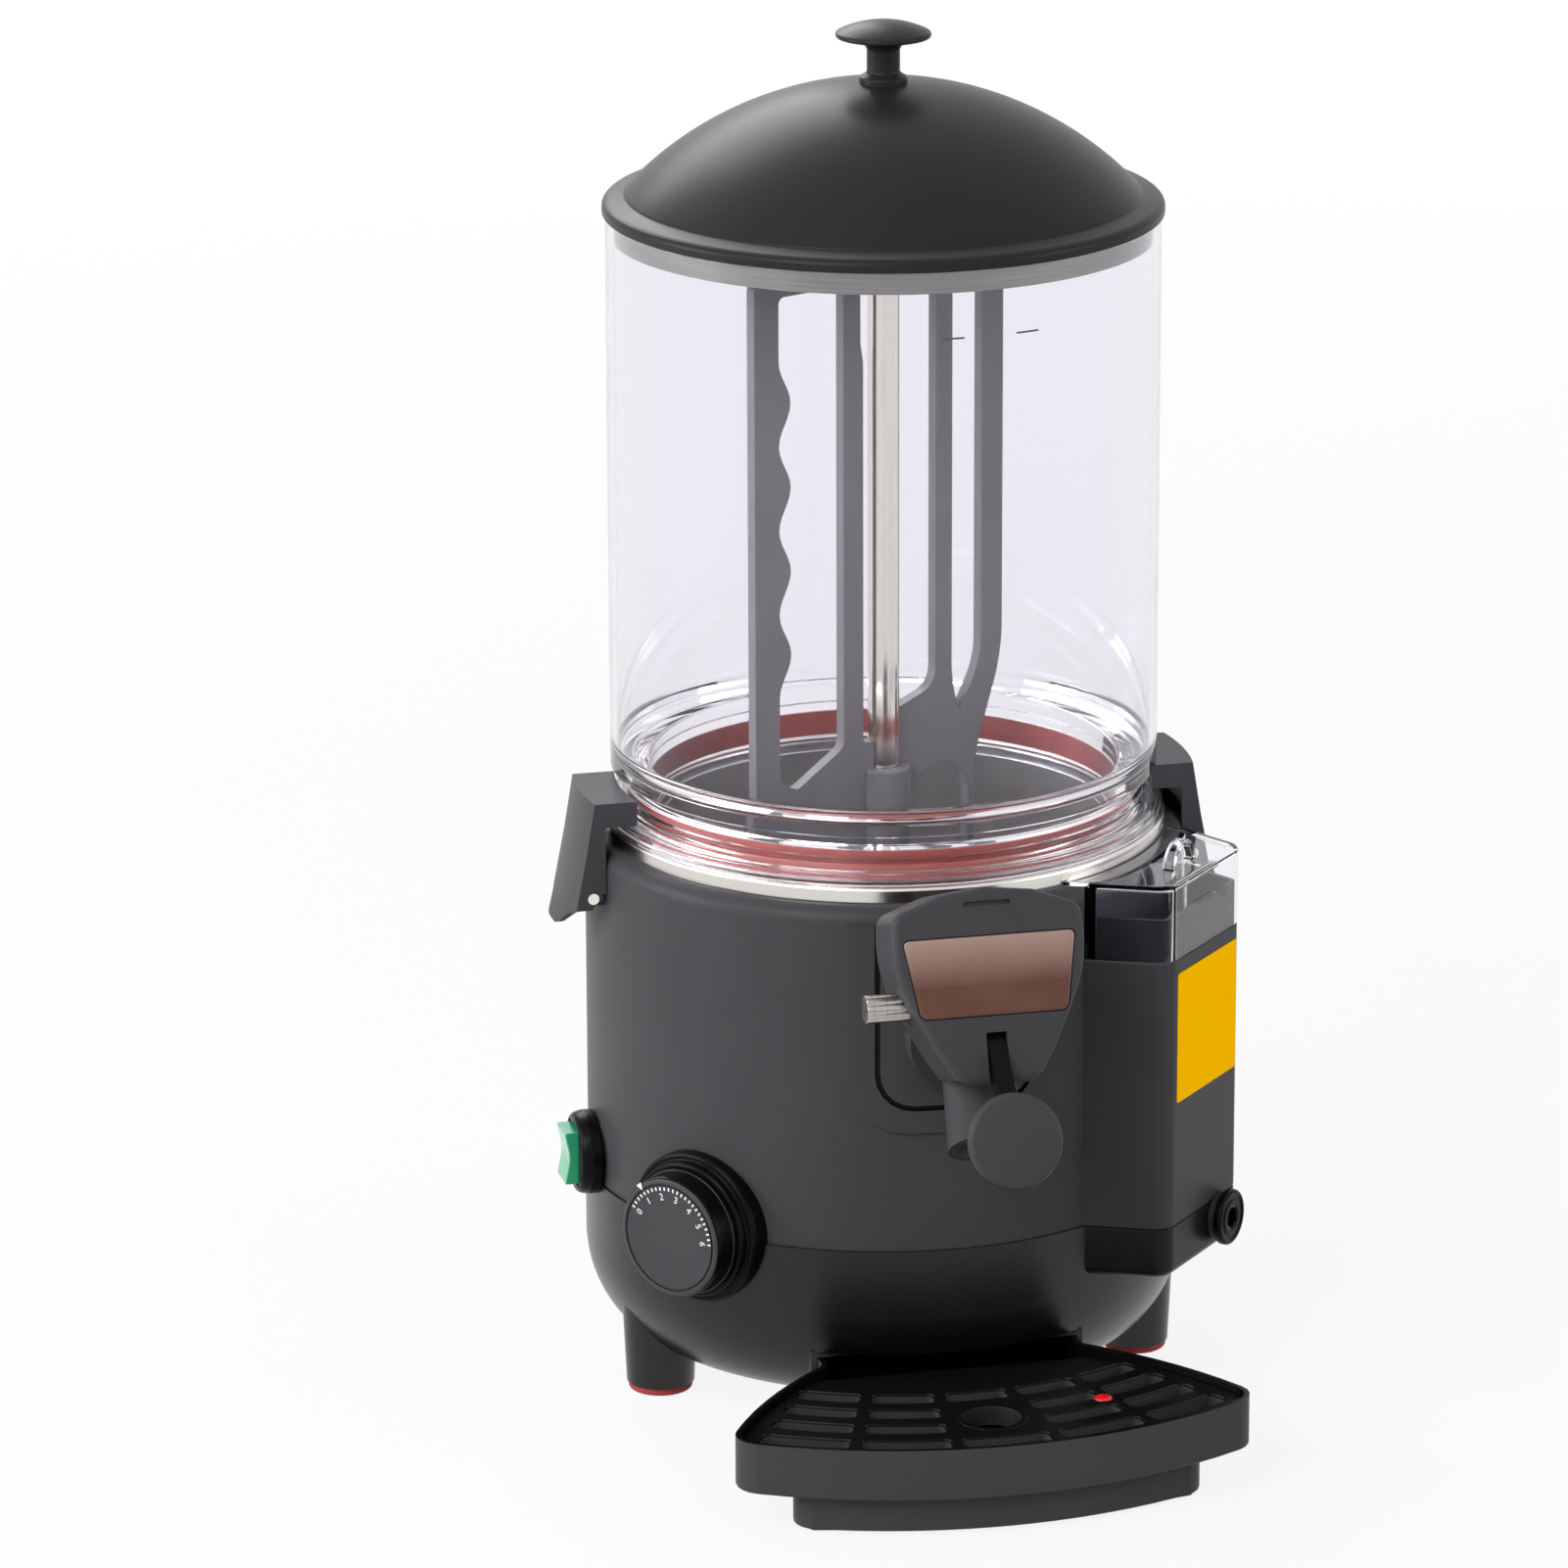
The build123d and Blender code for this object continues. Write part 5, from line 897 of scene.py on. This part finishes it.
def flatRound(piece, height, width, segments=4):
    # rounds the edge that runs round a block at one height, but not along its back
    pickEdges(piece, lambda a, b: atHeight(height, a, b) and (a.y + b.y) / 2 < -waterBox["root"] - 1)
    bpy.ops.mesh.bevel(offset=width * mm, segments=segments)
    bpy.ops.object.mode_set(mode="OBJECT")


boxBody = boxBlock("boxBody", 0, waterBox["seam"], waterBox["shelf"])
flatRound(boxBody, waterBox["shelf"], waterBox["edgeRound"])
flatRound(boxBody, waterBox["seam"], waterBox["seamRound"], 2)
cutWith(boxBody, boxBlock("boxRoom", 2.5, 150, waterBox["shelf"] - 2))
cutWith(boxBody, boxBlock("boxMouth", waterBox["collarIn"], 200, 210))
cutWith(boxBody, bodyRound(waterBox["seat"], 150))
collarLoops = [boxPlan(waterBox["collarOut"]), boxPlan(waterBox["collarIn"])]
collar = cutPlate("boxCollar", collarLoops, waterBox["collarTall"], "XY")
standAt(collar, place=(0, 0, waterBox["collar"] - waterBox["collarTall"]))
notch = standAt(cutPlate("levelNotch", [[(13, 224), (18, 217), (23, 224)]], 60), place=(0, -190, 0))
cutWith(collar, notch)
cutWith(collar, bodyRound(waterBox["collarSeat"], 150))
softenEdges(collar, waterBox["collarSoft"], 2)
joinPieces("waterBox", [boxBody, collar])
standAt(boxBody, waterBox["turn"])
settle(boxBody, blackAbs, "body", "body_plastic", "water_box", angle=30)
secondFinish(boxBody, semiGlossAbs, lambda c, n: c.z > waterBox["shelf"] + 0.1)      # the collar is brighter

boxFoot = boxBlock("waterBoxFoot", 0, waterBox["foot"], waterBox["seam"])
flatRound(boxFoot, waterBox["foot"], waterBox["footRound"], 5)
flatRound(boxFoot, waterBox["seam"], waterBox["seamRound"], 2)
cutWith(boxFoot, bodyRound(waterBox["footSeat"], 100))
standAt(boxFoot, waterBox["turn"])
settle(boxFoot, semiGlossAbs, "body", "body_plastic", "water_box_base", angle=30)

# clear top: a cap with a bead round its edge, a lip over the tub rim and an arched handle
handle = {"near": 8, "far": 11, "front": -142, "back": -137, "foot": 237, "soft": 0.8, "steps": 24}
roof = waterBox["top"] - waterBox["wall"]
clearTop = boxBlock("clearBoxTop", 0, waterBox["shelf"] + 0.3, waterBox["top"])
flatRound(clearTop, waterBox["top"], waterBox["edgeRound"])
pickFaces(clearTop, lambda c, n: n.z > 0.99)           # the lid panel sits a little below its rim
bpy.ops.mesh.inset(thickness=waterBox["rimWide"] * mm)
bpy.ops.mesh.inset(thickness=waterBox["rimStep"] * mm, depth=-waterBox["rimDeep"] * mm)
bpy.ops.object.mode_set(mode="OBJECT")
room = boxBlock("clearRoom", waterBox["wall"], 200, roof)
flatRound(room, roof, waterBox["edgeRound"])
cutWith(room, bodyRound(waterBox["topSeat"] + waterBox["wall"], 200))
cutWith(clearTop, bodyRound(waterBox["topSeat"], waterBox["rimTop"] - 50, 100))
cutWith(clearTop, bodyRound(waterBox["rimSeat"], 200))
cutWith(clearTop, room)
barLine = oblong(handle["near"], handle["front"], handle["far"], handle["back"], handle["soft"])
topHandle = drawLine("topHandle", barLine, "XY", segments=3)
middle = Vector((0, (handle["front"] + handle["back"]) / 2, handle["foot"])) * mm
bpy.ops.object.mode_set(mode="EDIT")
bpy.ops.mesh.select_all(action="SELECT")
bpy.ops.transform.translate(value=(0, 0, handle["foot"] * mm))
bpy.ops.mesh.spin(steps=handle["steps"], angle=pi, center=middle, axis=(0, 1, 0))
closeEnds()
cutWith(clearTop, topHandle, "UNION")
standAt(clearTop, waterBox["turn"])
settle(clearTop, clearStyrene, "box_top", "clear_plastic", "water_box_top", angle=30)

# blank yellow label laid on the front of the box and a little round its corner
label = {"left": -26.5, "right": 31.5, "low": 142.0, "high": 198.5, "film": 0.15, "gap": 0.06, "corner": 1.2,
         "columns": 48, "rows": 8}
left, right, low, high = label["left"], label["right"], label["low"], label["high"]
bpy.ops.object.select_all(action="DESELECT")
bpy.ops.mesh.primitive_grid_add(x_subdivisions=label["columns"], y_subdivisions=label["rows"], size=mm)
boxLabel = bpy.context.object
boxLabel.name = "boxLabel"
boxLabel.scale = (right - left, high - low, 1)
standAt(boxLabel, (90, 0, 0), ((left + right) / 2, -170, (low + high) / 2))
pickPoints(boxLabel, lambda p: min(p.x - left, right - p.x) < 0.05 and min(p.z - low, high - p.z) < 0.05)
bpy.ops.mesh.bevel(offset=label["corner"] * mm, segments=3, affect="VERTICES")
bpy.ops.object.mode_set(mode="OBJECT")
standAt(boxLabel, waterBox["turn"])
lay = boxLabel.modifiers.new("lay", "SHRINKWRAP")
lay.target = boxBody
lay.wrap_method = "NEAREST_SURFACEPOINT"
lay.offset = label["gap"] * mm
applyLast(boxLabel)
thicken(boxLabel, label["film"], 1)
settle(boxLabel, yellowVinylPaintedGlow, "body", "body_plastic")

# level dash on the clear top
boxDash = {"low": (-8.5, -152.72, 224.2), "high": (6.5, -152.54, 225.0), "soft": 0.05}
dash = brick(boxDash["low"], boxDash["high"])
dash.name = "boxLevelDash"
standAt(dash, waterBox["turn"])
softenEdges(dash, boxDash["soft"], 1)
settle(dash, greyInk, "box_top", "clear_plastic")

# drain plug: stepped head with a six-sided socket
drain = {"place": (14, 0, 80), "radius": 12.0, "front": 159.7, "valley": 159.0, "back": 155.8, "socket": 4.1,
         "socketFloor": 156.8, "key": 4.8, "steps": 60}
front, valley = drain["front"], drain["valley"]
plugLine = [(drain["socket"], drain["socketFloor"]), (drain["socket"], 159.2, 0.3), (5.6, front, 0.3),
            (7.4, front, 0.4)]
plugLine += [(7.8, valley, 0.3), (9.4, valley, 0.3), (9.9, front, 0.4), (11.2, front, 0.6),
             (drain["radius"], 158.7, 0.6)]
plugLine += [(drain["radius"], 156.4, 0.4), (11.4, drain["back"], 0.3), (0, drain["back"]),
             (0, drain["socketFloor"])]
plug = spinPiece("drainPlug", plugLine, drain["steps"])
cutWith(plug, barrel(drain["key"], 8, (0, 0, 160.8), sides=6))
standAt(plug, (90, 0, 0), drain["place"])
standAt(plug, waterBox["turn"])
settle(plug, polishedAbs, "plug", "dark_gloss", "drain_plug", angle=30)
print("water box modelled")


def faceOut(piece, spot):
    # drawn lying on its back on the axis, then stood up to look out of one side of the body
    return standAt(piece, (90, 0, spot["side"]), (0, 0, spot["height"]))


# thermostat: stepped bezel on the body, knob with a printed scale that turns with it; (radius, out)
dial = {"side": -51, "height": 90.5, "flange": 32.5, "collar": 29.0, "hole": 20.0, "inBody": 118.0,
        "seat": 126.6, "bezelFront": 135.2, "grip": 26.9, "back": 135.6, "face": 147.0, "groove": 146.4,
        "steps": 96, "ticks": 25, "tickHalf": (0.34, 0.75), "tickRing": 21.2, "numbers": 7,
        "numberRing": 17.6, "digit": 4.2, "start": 152.0, "end": 4.0, "pointerTurn": 128.0,
        "pointerRing": 24.3, "ink": 0.1, "inkLift": 0.02}
bezelLine = [(dial["hole"], dial["inBody"]), (dial["flange"], dial["inBody"]), (dial["flange"], 130.4, 1.0)]
bezelLine += [(31.2, 131.4, 0.6), (29.4, 131.4, 0.4), (dial["collar"], 132, 0.3),
              (dial["collar"], 134.4, 0.6)]
bezelLine += [(28.2, dial["bezelFront"], 0.5), (dial["hole"], dial["bezelFront"])]
dialBezel = faceOut(spinPiece("dialBezel", bezelLine, dial["steps"]), dial)
cutWith(dialBezel, bodyRound(dial["seat"], 90, 200))
settle(dialBezel, polishedAbs, "body", "dark_gloss", "dial_bezel", angle=30)

gripLine = [(0, dial["back"]), (dial["grip"], dial["back"], 0.4), (dial["grip"], 137.2, 0.3),
            (26.3, 137.6, 0.3)]
gripLine += [(25.9, 145.6, 1.0), (24.6, dial["face"], 0.8), (23.2, dial["face"], 0.15),
             (22.9, dial["groove"], 0.1)]
gripLine += [(22.5, dial["groove"], 0.1), (22.2, dial["face"], 0.15), (0, dial["face"])]
dialKnob = faceOut(spinPiece("dialKnob", gripLine, dial["steps"]), dial)
settle(dialKnob, polishedAbs, "dial", "body_plastic", "dial_knob", angle=30)
outward = Vector((sin(radians(dial["side"])), -cos(radians(dial["side"])), 0))
secondFinish(dialKnob, blackAbs, lambda c, n: n.dot(outward) > 0.7)      # face textured, sides bright


def scaleTurn(i, count):
    return dial["start"] + (dial["end"] - dial["start"]) * i / (count - 1)


def onScale(mark, turn, radius, lift=0):
    spot = radians(turn)
    return standAt(mark, (0, 0, turn - 90), (radius * cos(spot), radius * sin(spot), lift))


marks = []
thin, tall = dial["tickHalf"]
for i in range(dial["ticks"]):
    tick = cutPlate("tick", [oblong(-thin, -tall, thin, tall, 0.2)], dial["ink"], "XY")
    marks.append(onScale(tick, scaleTurn(i, dial["ticks"]), dial["tickRing"]))
pointer = cutPlate("pointer", [[(-1.5, 1.6, 0.2), (1.5, 1.6, 0.2), (0, -1.5, 0.2)]], dial["ink"], "XY")
marks.append(onScale(pointer, dial["pointerTurn"], dial["pointerRing"]))
for i in range(dial["numbers"]):
    bpy.ops.object.select_all(action="DESELECT")
    bpy.ops.object.text_add()
    number = bpy.context.object.data
    number.body = str(i)
    number.size = dial["digit"] * mm
    number.extrude = dial["ink"] / 2 * mm
    number.align_x = "CENTER"
    number.align_y = "CENTER"
    number.resolution_u = 3
    bpy.ops.object.convert(target="MESH")
    turn = scaleTurn(i, dial["numbers"])
    marks.append(onScale(bpy.context.object, turn, dial["numberRing"], dial["ink"] / 2))
dialScale = joinPieces("dialScale", marks)             # laid on the knob's face as a thin skin of ink
standAt(dialScale, place=(0, 0, dial["face"] + dial["inkLift"]))
faceOut(dialScale, dial)
settle(dialScale, whiteInk, "dial", "white_plastic")
print("dial modelled")

# round switch: flanged bezel, window, lit rocker with a shallow dip across it
switch = {"side": -89, "height": 99.0, "neck": 15.5, "flange": 18.0, "inBody": 120.0, "front": 136.0,
          "seat": 126.6, "windowHalf": (9.4, 12.9), "steps": 80, "wide": 16.0, "half": 11.5, "foot": 126.2,
          "ridge": 141.6, "dip": 139.2, "ringSoft": 0.35, "rockerSoft": 0.5}
switchLine = [(0, switch["inBody"]), (switch["neck"], switch["inBody"]), (switch["neck"], 127.2)]
switchLine += [(switch["flange"], 127.2, 0.4), (switch["flange"], 131.6, 0.6), (17.2, 134.8, 1.0)]
switchLine += [(15.8, switch["front"], 0.9), (0, switch["front"])]
switchRing = spinPiece("switchRing", switchLine, switch["steps"])
across, tall = switch["windowHalf"]
cutWith(switchRing, brick((-across, -tall, 110), (across, tall, 150)))
softenEdges(switchRing, switch["ringSoft"], 2, 50)
faceOut(switchRing, switch)
cutWith(switchRing, bodyRound(switch["seat"], 100, 200))
settle(switchRing, polishedAbs, "body", "dark_gloss", "switch_bezel", angle=30)

half, foot, ridge = switch["half"], switch["foot"], switch["ridge"]
rockerLine = [(-half, foot, 0.6), (half, foot, 0.6), (half, ridge, 1.0), (0, switch["dip"], 3),
              (-half, ridge, 1.0)]
rocker = cutPlate("switchRocker", [rockerLine], switch["wide"])
standAt(rocker, (0, 0, 90), (switch["wide"] / 2, 0, 0))
softenEdges(rocker, switch["rockerSoft"], 3, 50)
faceOut(rocker, switch)
settle(rocker, greenLens, "rocker", "rocker_green", "switch_rocker", angle=30)
print("switch modelled")

# drip tray: two tiers, each with its front on one wide arc; plan is (across, towards the front)
tray = {"foot": 1.2, "step": 17.0, "top": 39.0, "bow": 5.0, "sheet": 2.2, "lowerTop": 24.0, "footRound": 6.5,
        "roomRound": 3.0, "arcSteps": 20, "sideSteps": 8, "soft": 0.5}
tiers = {
    "upper": {"middle": -17, "reach": 210, "front": 112, "back": 55.5, "flare": 120, "end": 96.5,
              "corner": 11},
    "lower": {"middle": -10.5, "reach": 210, "front": 88, "back": 44, "flare": 122, "end": 103, "corner": 10},
    "upperRoom": {"middle": -17, "reach": 207.8, "front": 109.2, "back": 53.3, "flare": 121, "end": 98.7,
                  "corner": 9},
    "lowerRoom": {"middle": -10.5, "reach": 207.8, "front": 85.4, "back": 41.8, "flare": 123, "end": 105.2,
                  "corner": 8},
    "grille": {"middle": -17, "reach": 207.3, "front": 108.6, "back": 53, "flare": 121.2, "end": 99,
               "corner": 9},
}


def trayPlan(tier):
    # front arc, left side bowed out a little, straight back, and the same again at the right
    edge = asin(tier["front"] / tier["reach"])
    turns = [edge * (1 - 2 * i / tray["arcSteps"]) for i in range(tray["arcSteps"] + 1)]
    front = [(tier["reach"] * sin(a), tier["middle"] - tier["reach"] * cos(a)) for a in turns]
    start, end = Vector(front[-1]), Vector((-tier["back"], -tier["flare"]))
    away = Vector((start.y - end.y, end.x - start.x)).normalized()
    shares = [i / tray["sideSteps"] for i in range(1, tray["sideSteps"])]
    left = [tuple(start.lerp(end, s) + away * 4 * tray["bow"] * s * (1 - s)) for s in shares]
    left += [(-tier["back"], -tier["flare"], 2), (-tier["back"], -tier["end"], 1.5)]
    soft = (tier["corner"],)
    return [front[0] + soft] + front[1:-1] + [front[-1] + soft] + left + mirrored(left)


def trayBlock(name, tier, low, high, footRound):
    block = standAt(cutPlate(name, [trayPlan(tiers[tier])], high - low, "XY"), place=(0, 0, low))
    pickEdges(block, lambda a, b: atHeight(low, a, b))
    bpy.ops.mesh.bevel(offset=footRound * mm, segments=5, clamp_overlap=True)
    bpy.ops.object.mode_set(mode="OBJECT")
    return block


def brightInTray(c, n):
    inward = n.xy.dot(Vector((0, -150)) - c.xy) > 10 and c.z > tray["step"]
    return inward or n.z > 0.5


trayPan = trayBlock("trayPan", "upper", tray["step"], tray["top"], tray["footRound"])
cutWith(trayPan, trayBlock("lowerTier", "lower", tray["foot"], tray["lowerTop"], tray["footRound"]), "UNION")
cutWith(trayPan, trayBlock("upperRoom", "upperRoom", tray["step"] + tray["sheet"], 60, tray["roomRound"]))
cutWith(trayPan, trayBlock("lowerRoom", "lowerRoom", tray["foot"] + tray["sheet"], 60, tray["roomRound"]))
softenEdges(trayPan, tray["soft"], 3, 60)
settle(trayPan, blackAbs, "tray", "body_plastic", "tray_pan", angle=40)
secondFinish(trayPan, polishedAbs, brightInTray)       # the top of the rim is glossy; the inside gets the same near-black gloss as painted shade

# grille: deep arc slots in rows about the tray's own middle, a ringed drain hole and a hole for the float
grille = {"top": 36.0, "deep": 8.0, "rows": (195, 178, 161, 144), "columns": 5, "pitch": 12.2, "wide": 10.6,
          "rib": 3.6, "corner": 3.4, "soft": 0.8, "back": -129.2, "backHalf": 61.5, "drain": (0, -186.5),
          "drainRows": (1, 2), "drainHole": 12.0, "drainRim": 14.8, "rimFoot": 28.2, "float": (50, -176),
          "floatHole": 4.3, "mouth": ((0.18, 0.45), (0.27, 0.27), (0.45, 0.18)), "steps": 64}


def slotLine(reach, turn):
    half = radians(grille["pitch"]) / 2 - grille["rib"] / 2 / reach
    line = []
    for radius, way in ((reach + grille["wide"] / 2, 1), (reach - grille["wide"] / 2, -1)):
        for share in (1, 0.5, 0, -0.5, -1):
            angle = turn + half * share * way
            soft = (grille["corner"],) if abs(share) == 1 else ()
            line.append((radius * sin(angle), tiers["grille"]["middle"] - radius * cos(angle)) + soft)
    return line


grilleEdge = [c for c in trayPlan(tiers["grille"]) if c[1] < grille["back"] - 0.8]
turnBack = max(i for i, c in enumerate(grilleEdge) if c[0] < 0) + 1
half, back = grille["backHalf"], grille["back"]
grilleEdge[turnBack:turnBack] = [(-half, back, 1), (half, back, 1)]
trayGrille = cutPlate("trayGrille", [grilleEdge], grille["deep"], "XY")
standAt(trayGrille, place=(0, 0, grille["top"] - grille["deep"]))
softenEdges(trayGrille, grille["soft"], 3, 60)
slots = []
middleColumn = grille["columns"] // 2
for row, reach in enumerate(grille["rows"]):
    for column in range(grille["columns"]):
        if column == middleColumn and row in grille["drainRows"]:
            continue
        turn = radians((column - middleColumn) * grille["pitch"])
        slot = cutPlate("slotCutter", [slotLine(reach, turn)], 5, "XY")
        slots.append(standAt(slot, place=(0, 0, grille["top"])))
slots = joinPieces("slotCutters", slots)
pickFaces(slots, lambda c, n: n.z < -0.99)
for across, down in grille["mouth"]:                   # the slot's mouth is rounded off
    bpy.ops.mesh.inset(thickness=across * mm, depth=down * mm, use_individual=True)
bpy.ops.mesh.extrude_region_move(TRANSFORM_OT_translate={"value": (0, 0, -14 * mm)})
bpy.ops.object.mode_set(mode="OBJECT")
cutWith(trayGrille, slots)
cutWith(trayGrille, barrel(grille["drainHole"], 30, grille["drain"] + (34,), sides=grille["steps"]))
cutWith(trayGrille, barrel(grille["floatHole"], 30, grille["float"] + (34,), sides=40))
hole, rim, foot = grille["drainHole"], grille["drainRim"], grille["rimFoot"]
rimLine = [(hole, foot), (hole, grille["top"], 0.4), (13.4, 36.6, 0.5), (rim, 36.2, 0.4), (rim, foot)]
drainRing = standAt(spinPiece("drainRing", rimLine, grille["steps"]), place=grille["drain"] + (0,))
joinPieces("trayGrille", [trayGrille, drainRing])
settle(trayGrille, polishedAbs, "grille", "dark_gloss", "tray_grille", angle=25)
# slot walls keep the satin of the tool's cores, their lighter colour also painted light for the lit walls of
# the slots
secondFinish(trayGrille, blackAbs, lambda c, n: n.z <= 0.3)

# float: a drum under the grille with a pin that shows through it
buoy = {"drum": 8.0, "pin": 4.0, "foot": 3.4, "roof": 18.4, "top": 37.5, "steps": 40}
floatLine = [(0, buoy["foot"]), (7.2, buoy["foot"], 0.6), (buoy["drum"], 4.2, 0.6), (buoy["drum"], 17.6, 0.8)]
floatLine += [(6.4, buoy["roof"], 0.4), (buoy["pin"], buoy["roof"], 0.8), (buoy["pin"], 36.2, 1.4),
              (0, buoy["top"])]
floatPin = standAt(spinPiece("floatPin", floatLine, buoy["steps"]), place=grille["float"] + (0,))
settle(floatPin, redAbs, "float", "float_red", "tray_float")
print("tray modelled")

# side clip: hooked over the jar's foot, hollow behind, with a thumb tab; (out, up) from the machine's axis
clip = {"half": 23.1, "hook": 113.8, "under": 248.4, "top": 258.9, "foot": 211.0, "tab": 202.0, "cheek": 4.0,
        "shell": 127.0, "lowShell": 128.4, "soft": 1.1, "steps": 160, "sides": 200}
sideLine = [(100, clip["under"], 0.8), (100, clip["top"]), (160, clip["top"]), (160, clip["tab"]),
            (142.2, clip["tab"])]
sideLine += [(136, clip["foot"]), (132.2, clip["foot"]), (128.3, 216.6), (110, 218), (110, clip["under"])]
skinLine = [(0, 190), (145.5, 200), (139.6, 213), (135.2, 236), (131.4, 259.5), (0, 259.5)]
hollowLine = [(0, 190), (142.0, 200), (136.9, 213), (132.6, 236), (132.0, 239), (0, 239)]
tabRight = [(24, 262), (24, 213, 1.5), (17, 211, 3), (8, 203.6, 2.5)]
leftClip = standAt(cutPlate("clipLeft", [sideLine], 2 * clip["half"]), (0, 0, -90), (-clip["half"], 0, 0))
cutWith(leftClip, spinPiece("clipSkin", skinLine, clip["steps"]), "INTERSECT")
clipFace = cutPlate("clipFace", [[(-24, 262)] + tabRight + mirrored(tabRight[1:])], 90)
cutWith(leftClip, standAt(clipFace, place=(0, -180, 0)), "INTERSECT")
cutWith(leftClip, barrel(clip["hook"], 40, (0, 0, 262), sides=clip["sides"]))
cutWith(leftClip, barrel(clip["shell"], 60, (0, 0, clip["under"] - 30), sides=clip["sides"]))
cutWith(leftClip, barrel(clip["lowShell"], 40, (0, 0, 199.5), sides=clip["sides"]))
hollow = spinPiece("clipHollow", hollowLine, clip["steps"])
inner = clip["half"] - clip["cheek"]
cutWith(hollow, brick((-inner, -170, 180), (inner, -60, 260)), "INTERSECT")
# the thumb tab stays solid
tabKeep = cutPlate("tabKeep", [[(128, 180), (160, 180), (160, 214), (134.5, 211.5)]], 60)
cutWith(hollow, standAt(tabKeep, (0, 0, -90), (-30, 0, 0)))
cutWith(leftClip, hollow)
softenEdges(leftClip, clip["soft"], 3, 28)
takeUp(leftClip)
bpy.ops.object.duplicate()
rightClip = bpy.context.object
rightClip.name = "clipRight"
standAt(leftClip, (0, 0, -90))
standAt(rightClip, (0, 0, 90))
settle(leftClip, blackAbs, "left_clip", "body_plastic", "clip_lever_left", angle=40)
settle(rightClip, blackAbs, "right_clip", "body_plastic", "clip_lever_right", angle=40)
print("clips modelled")
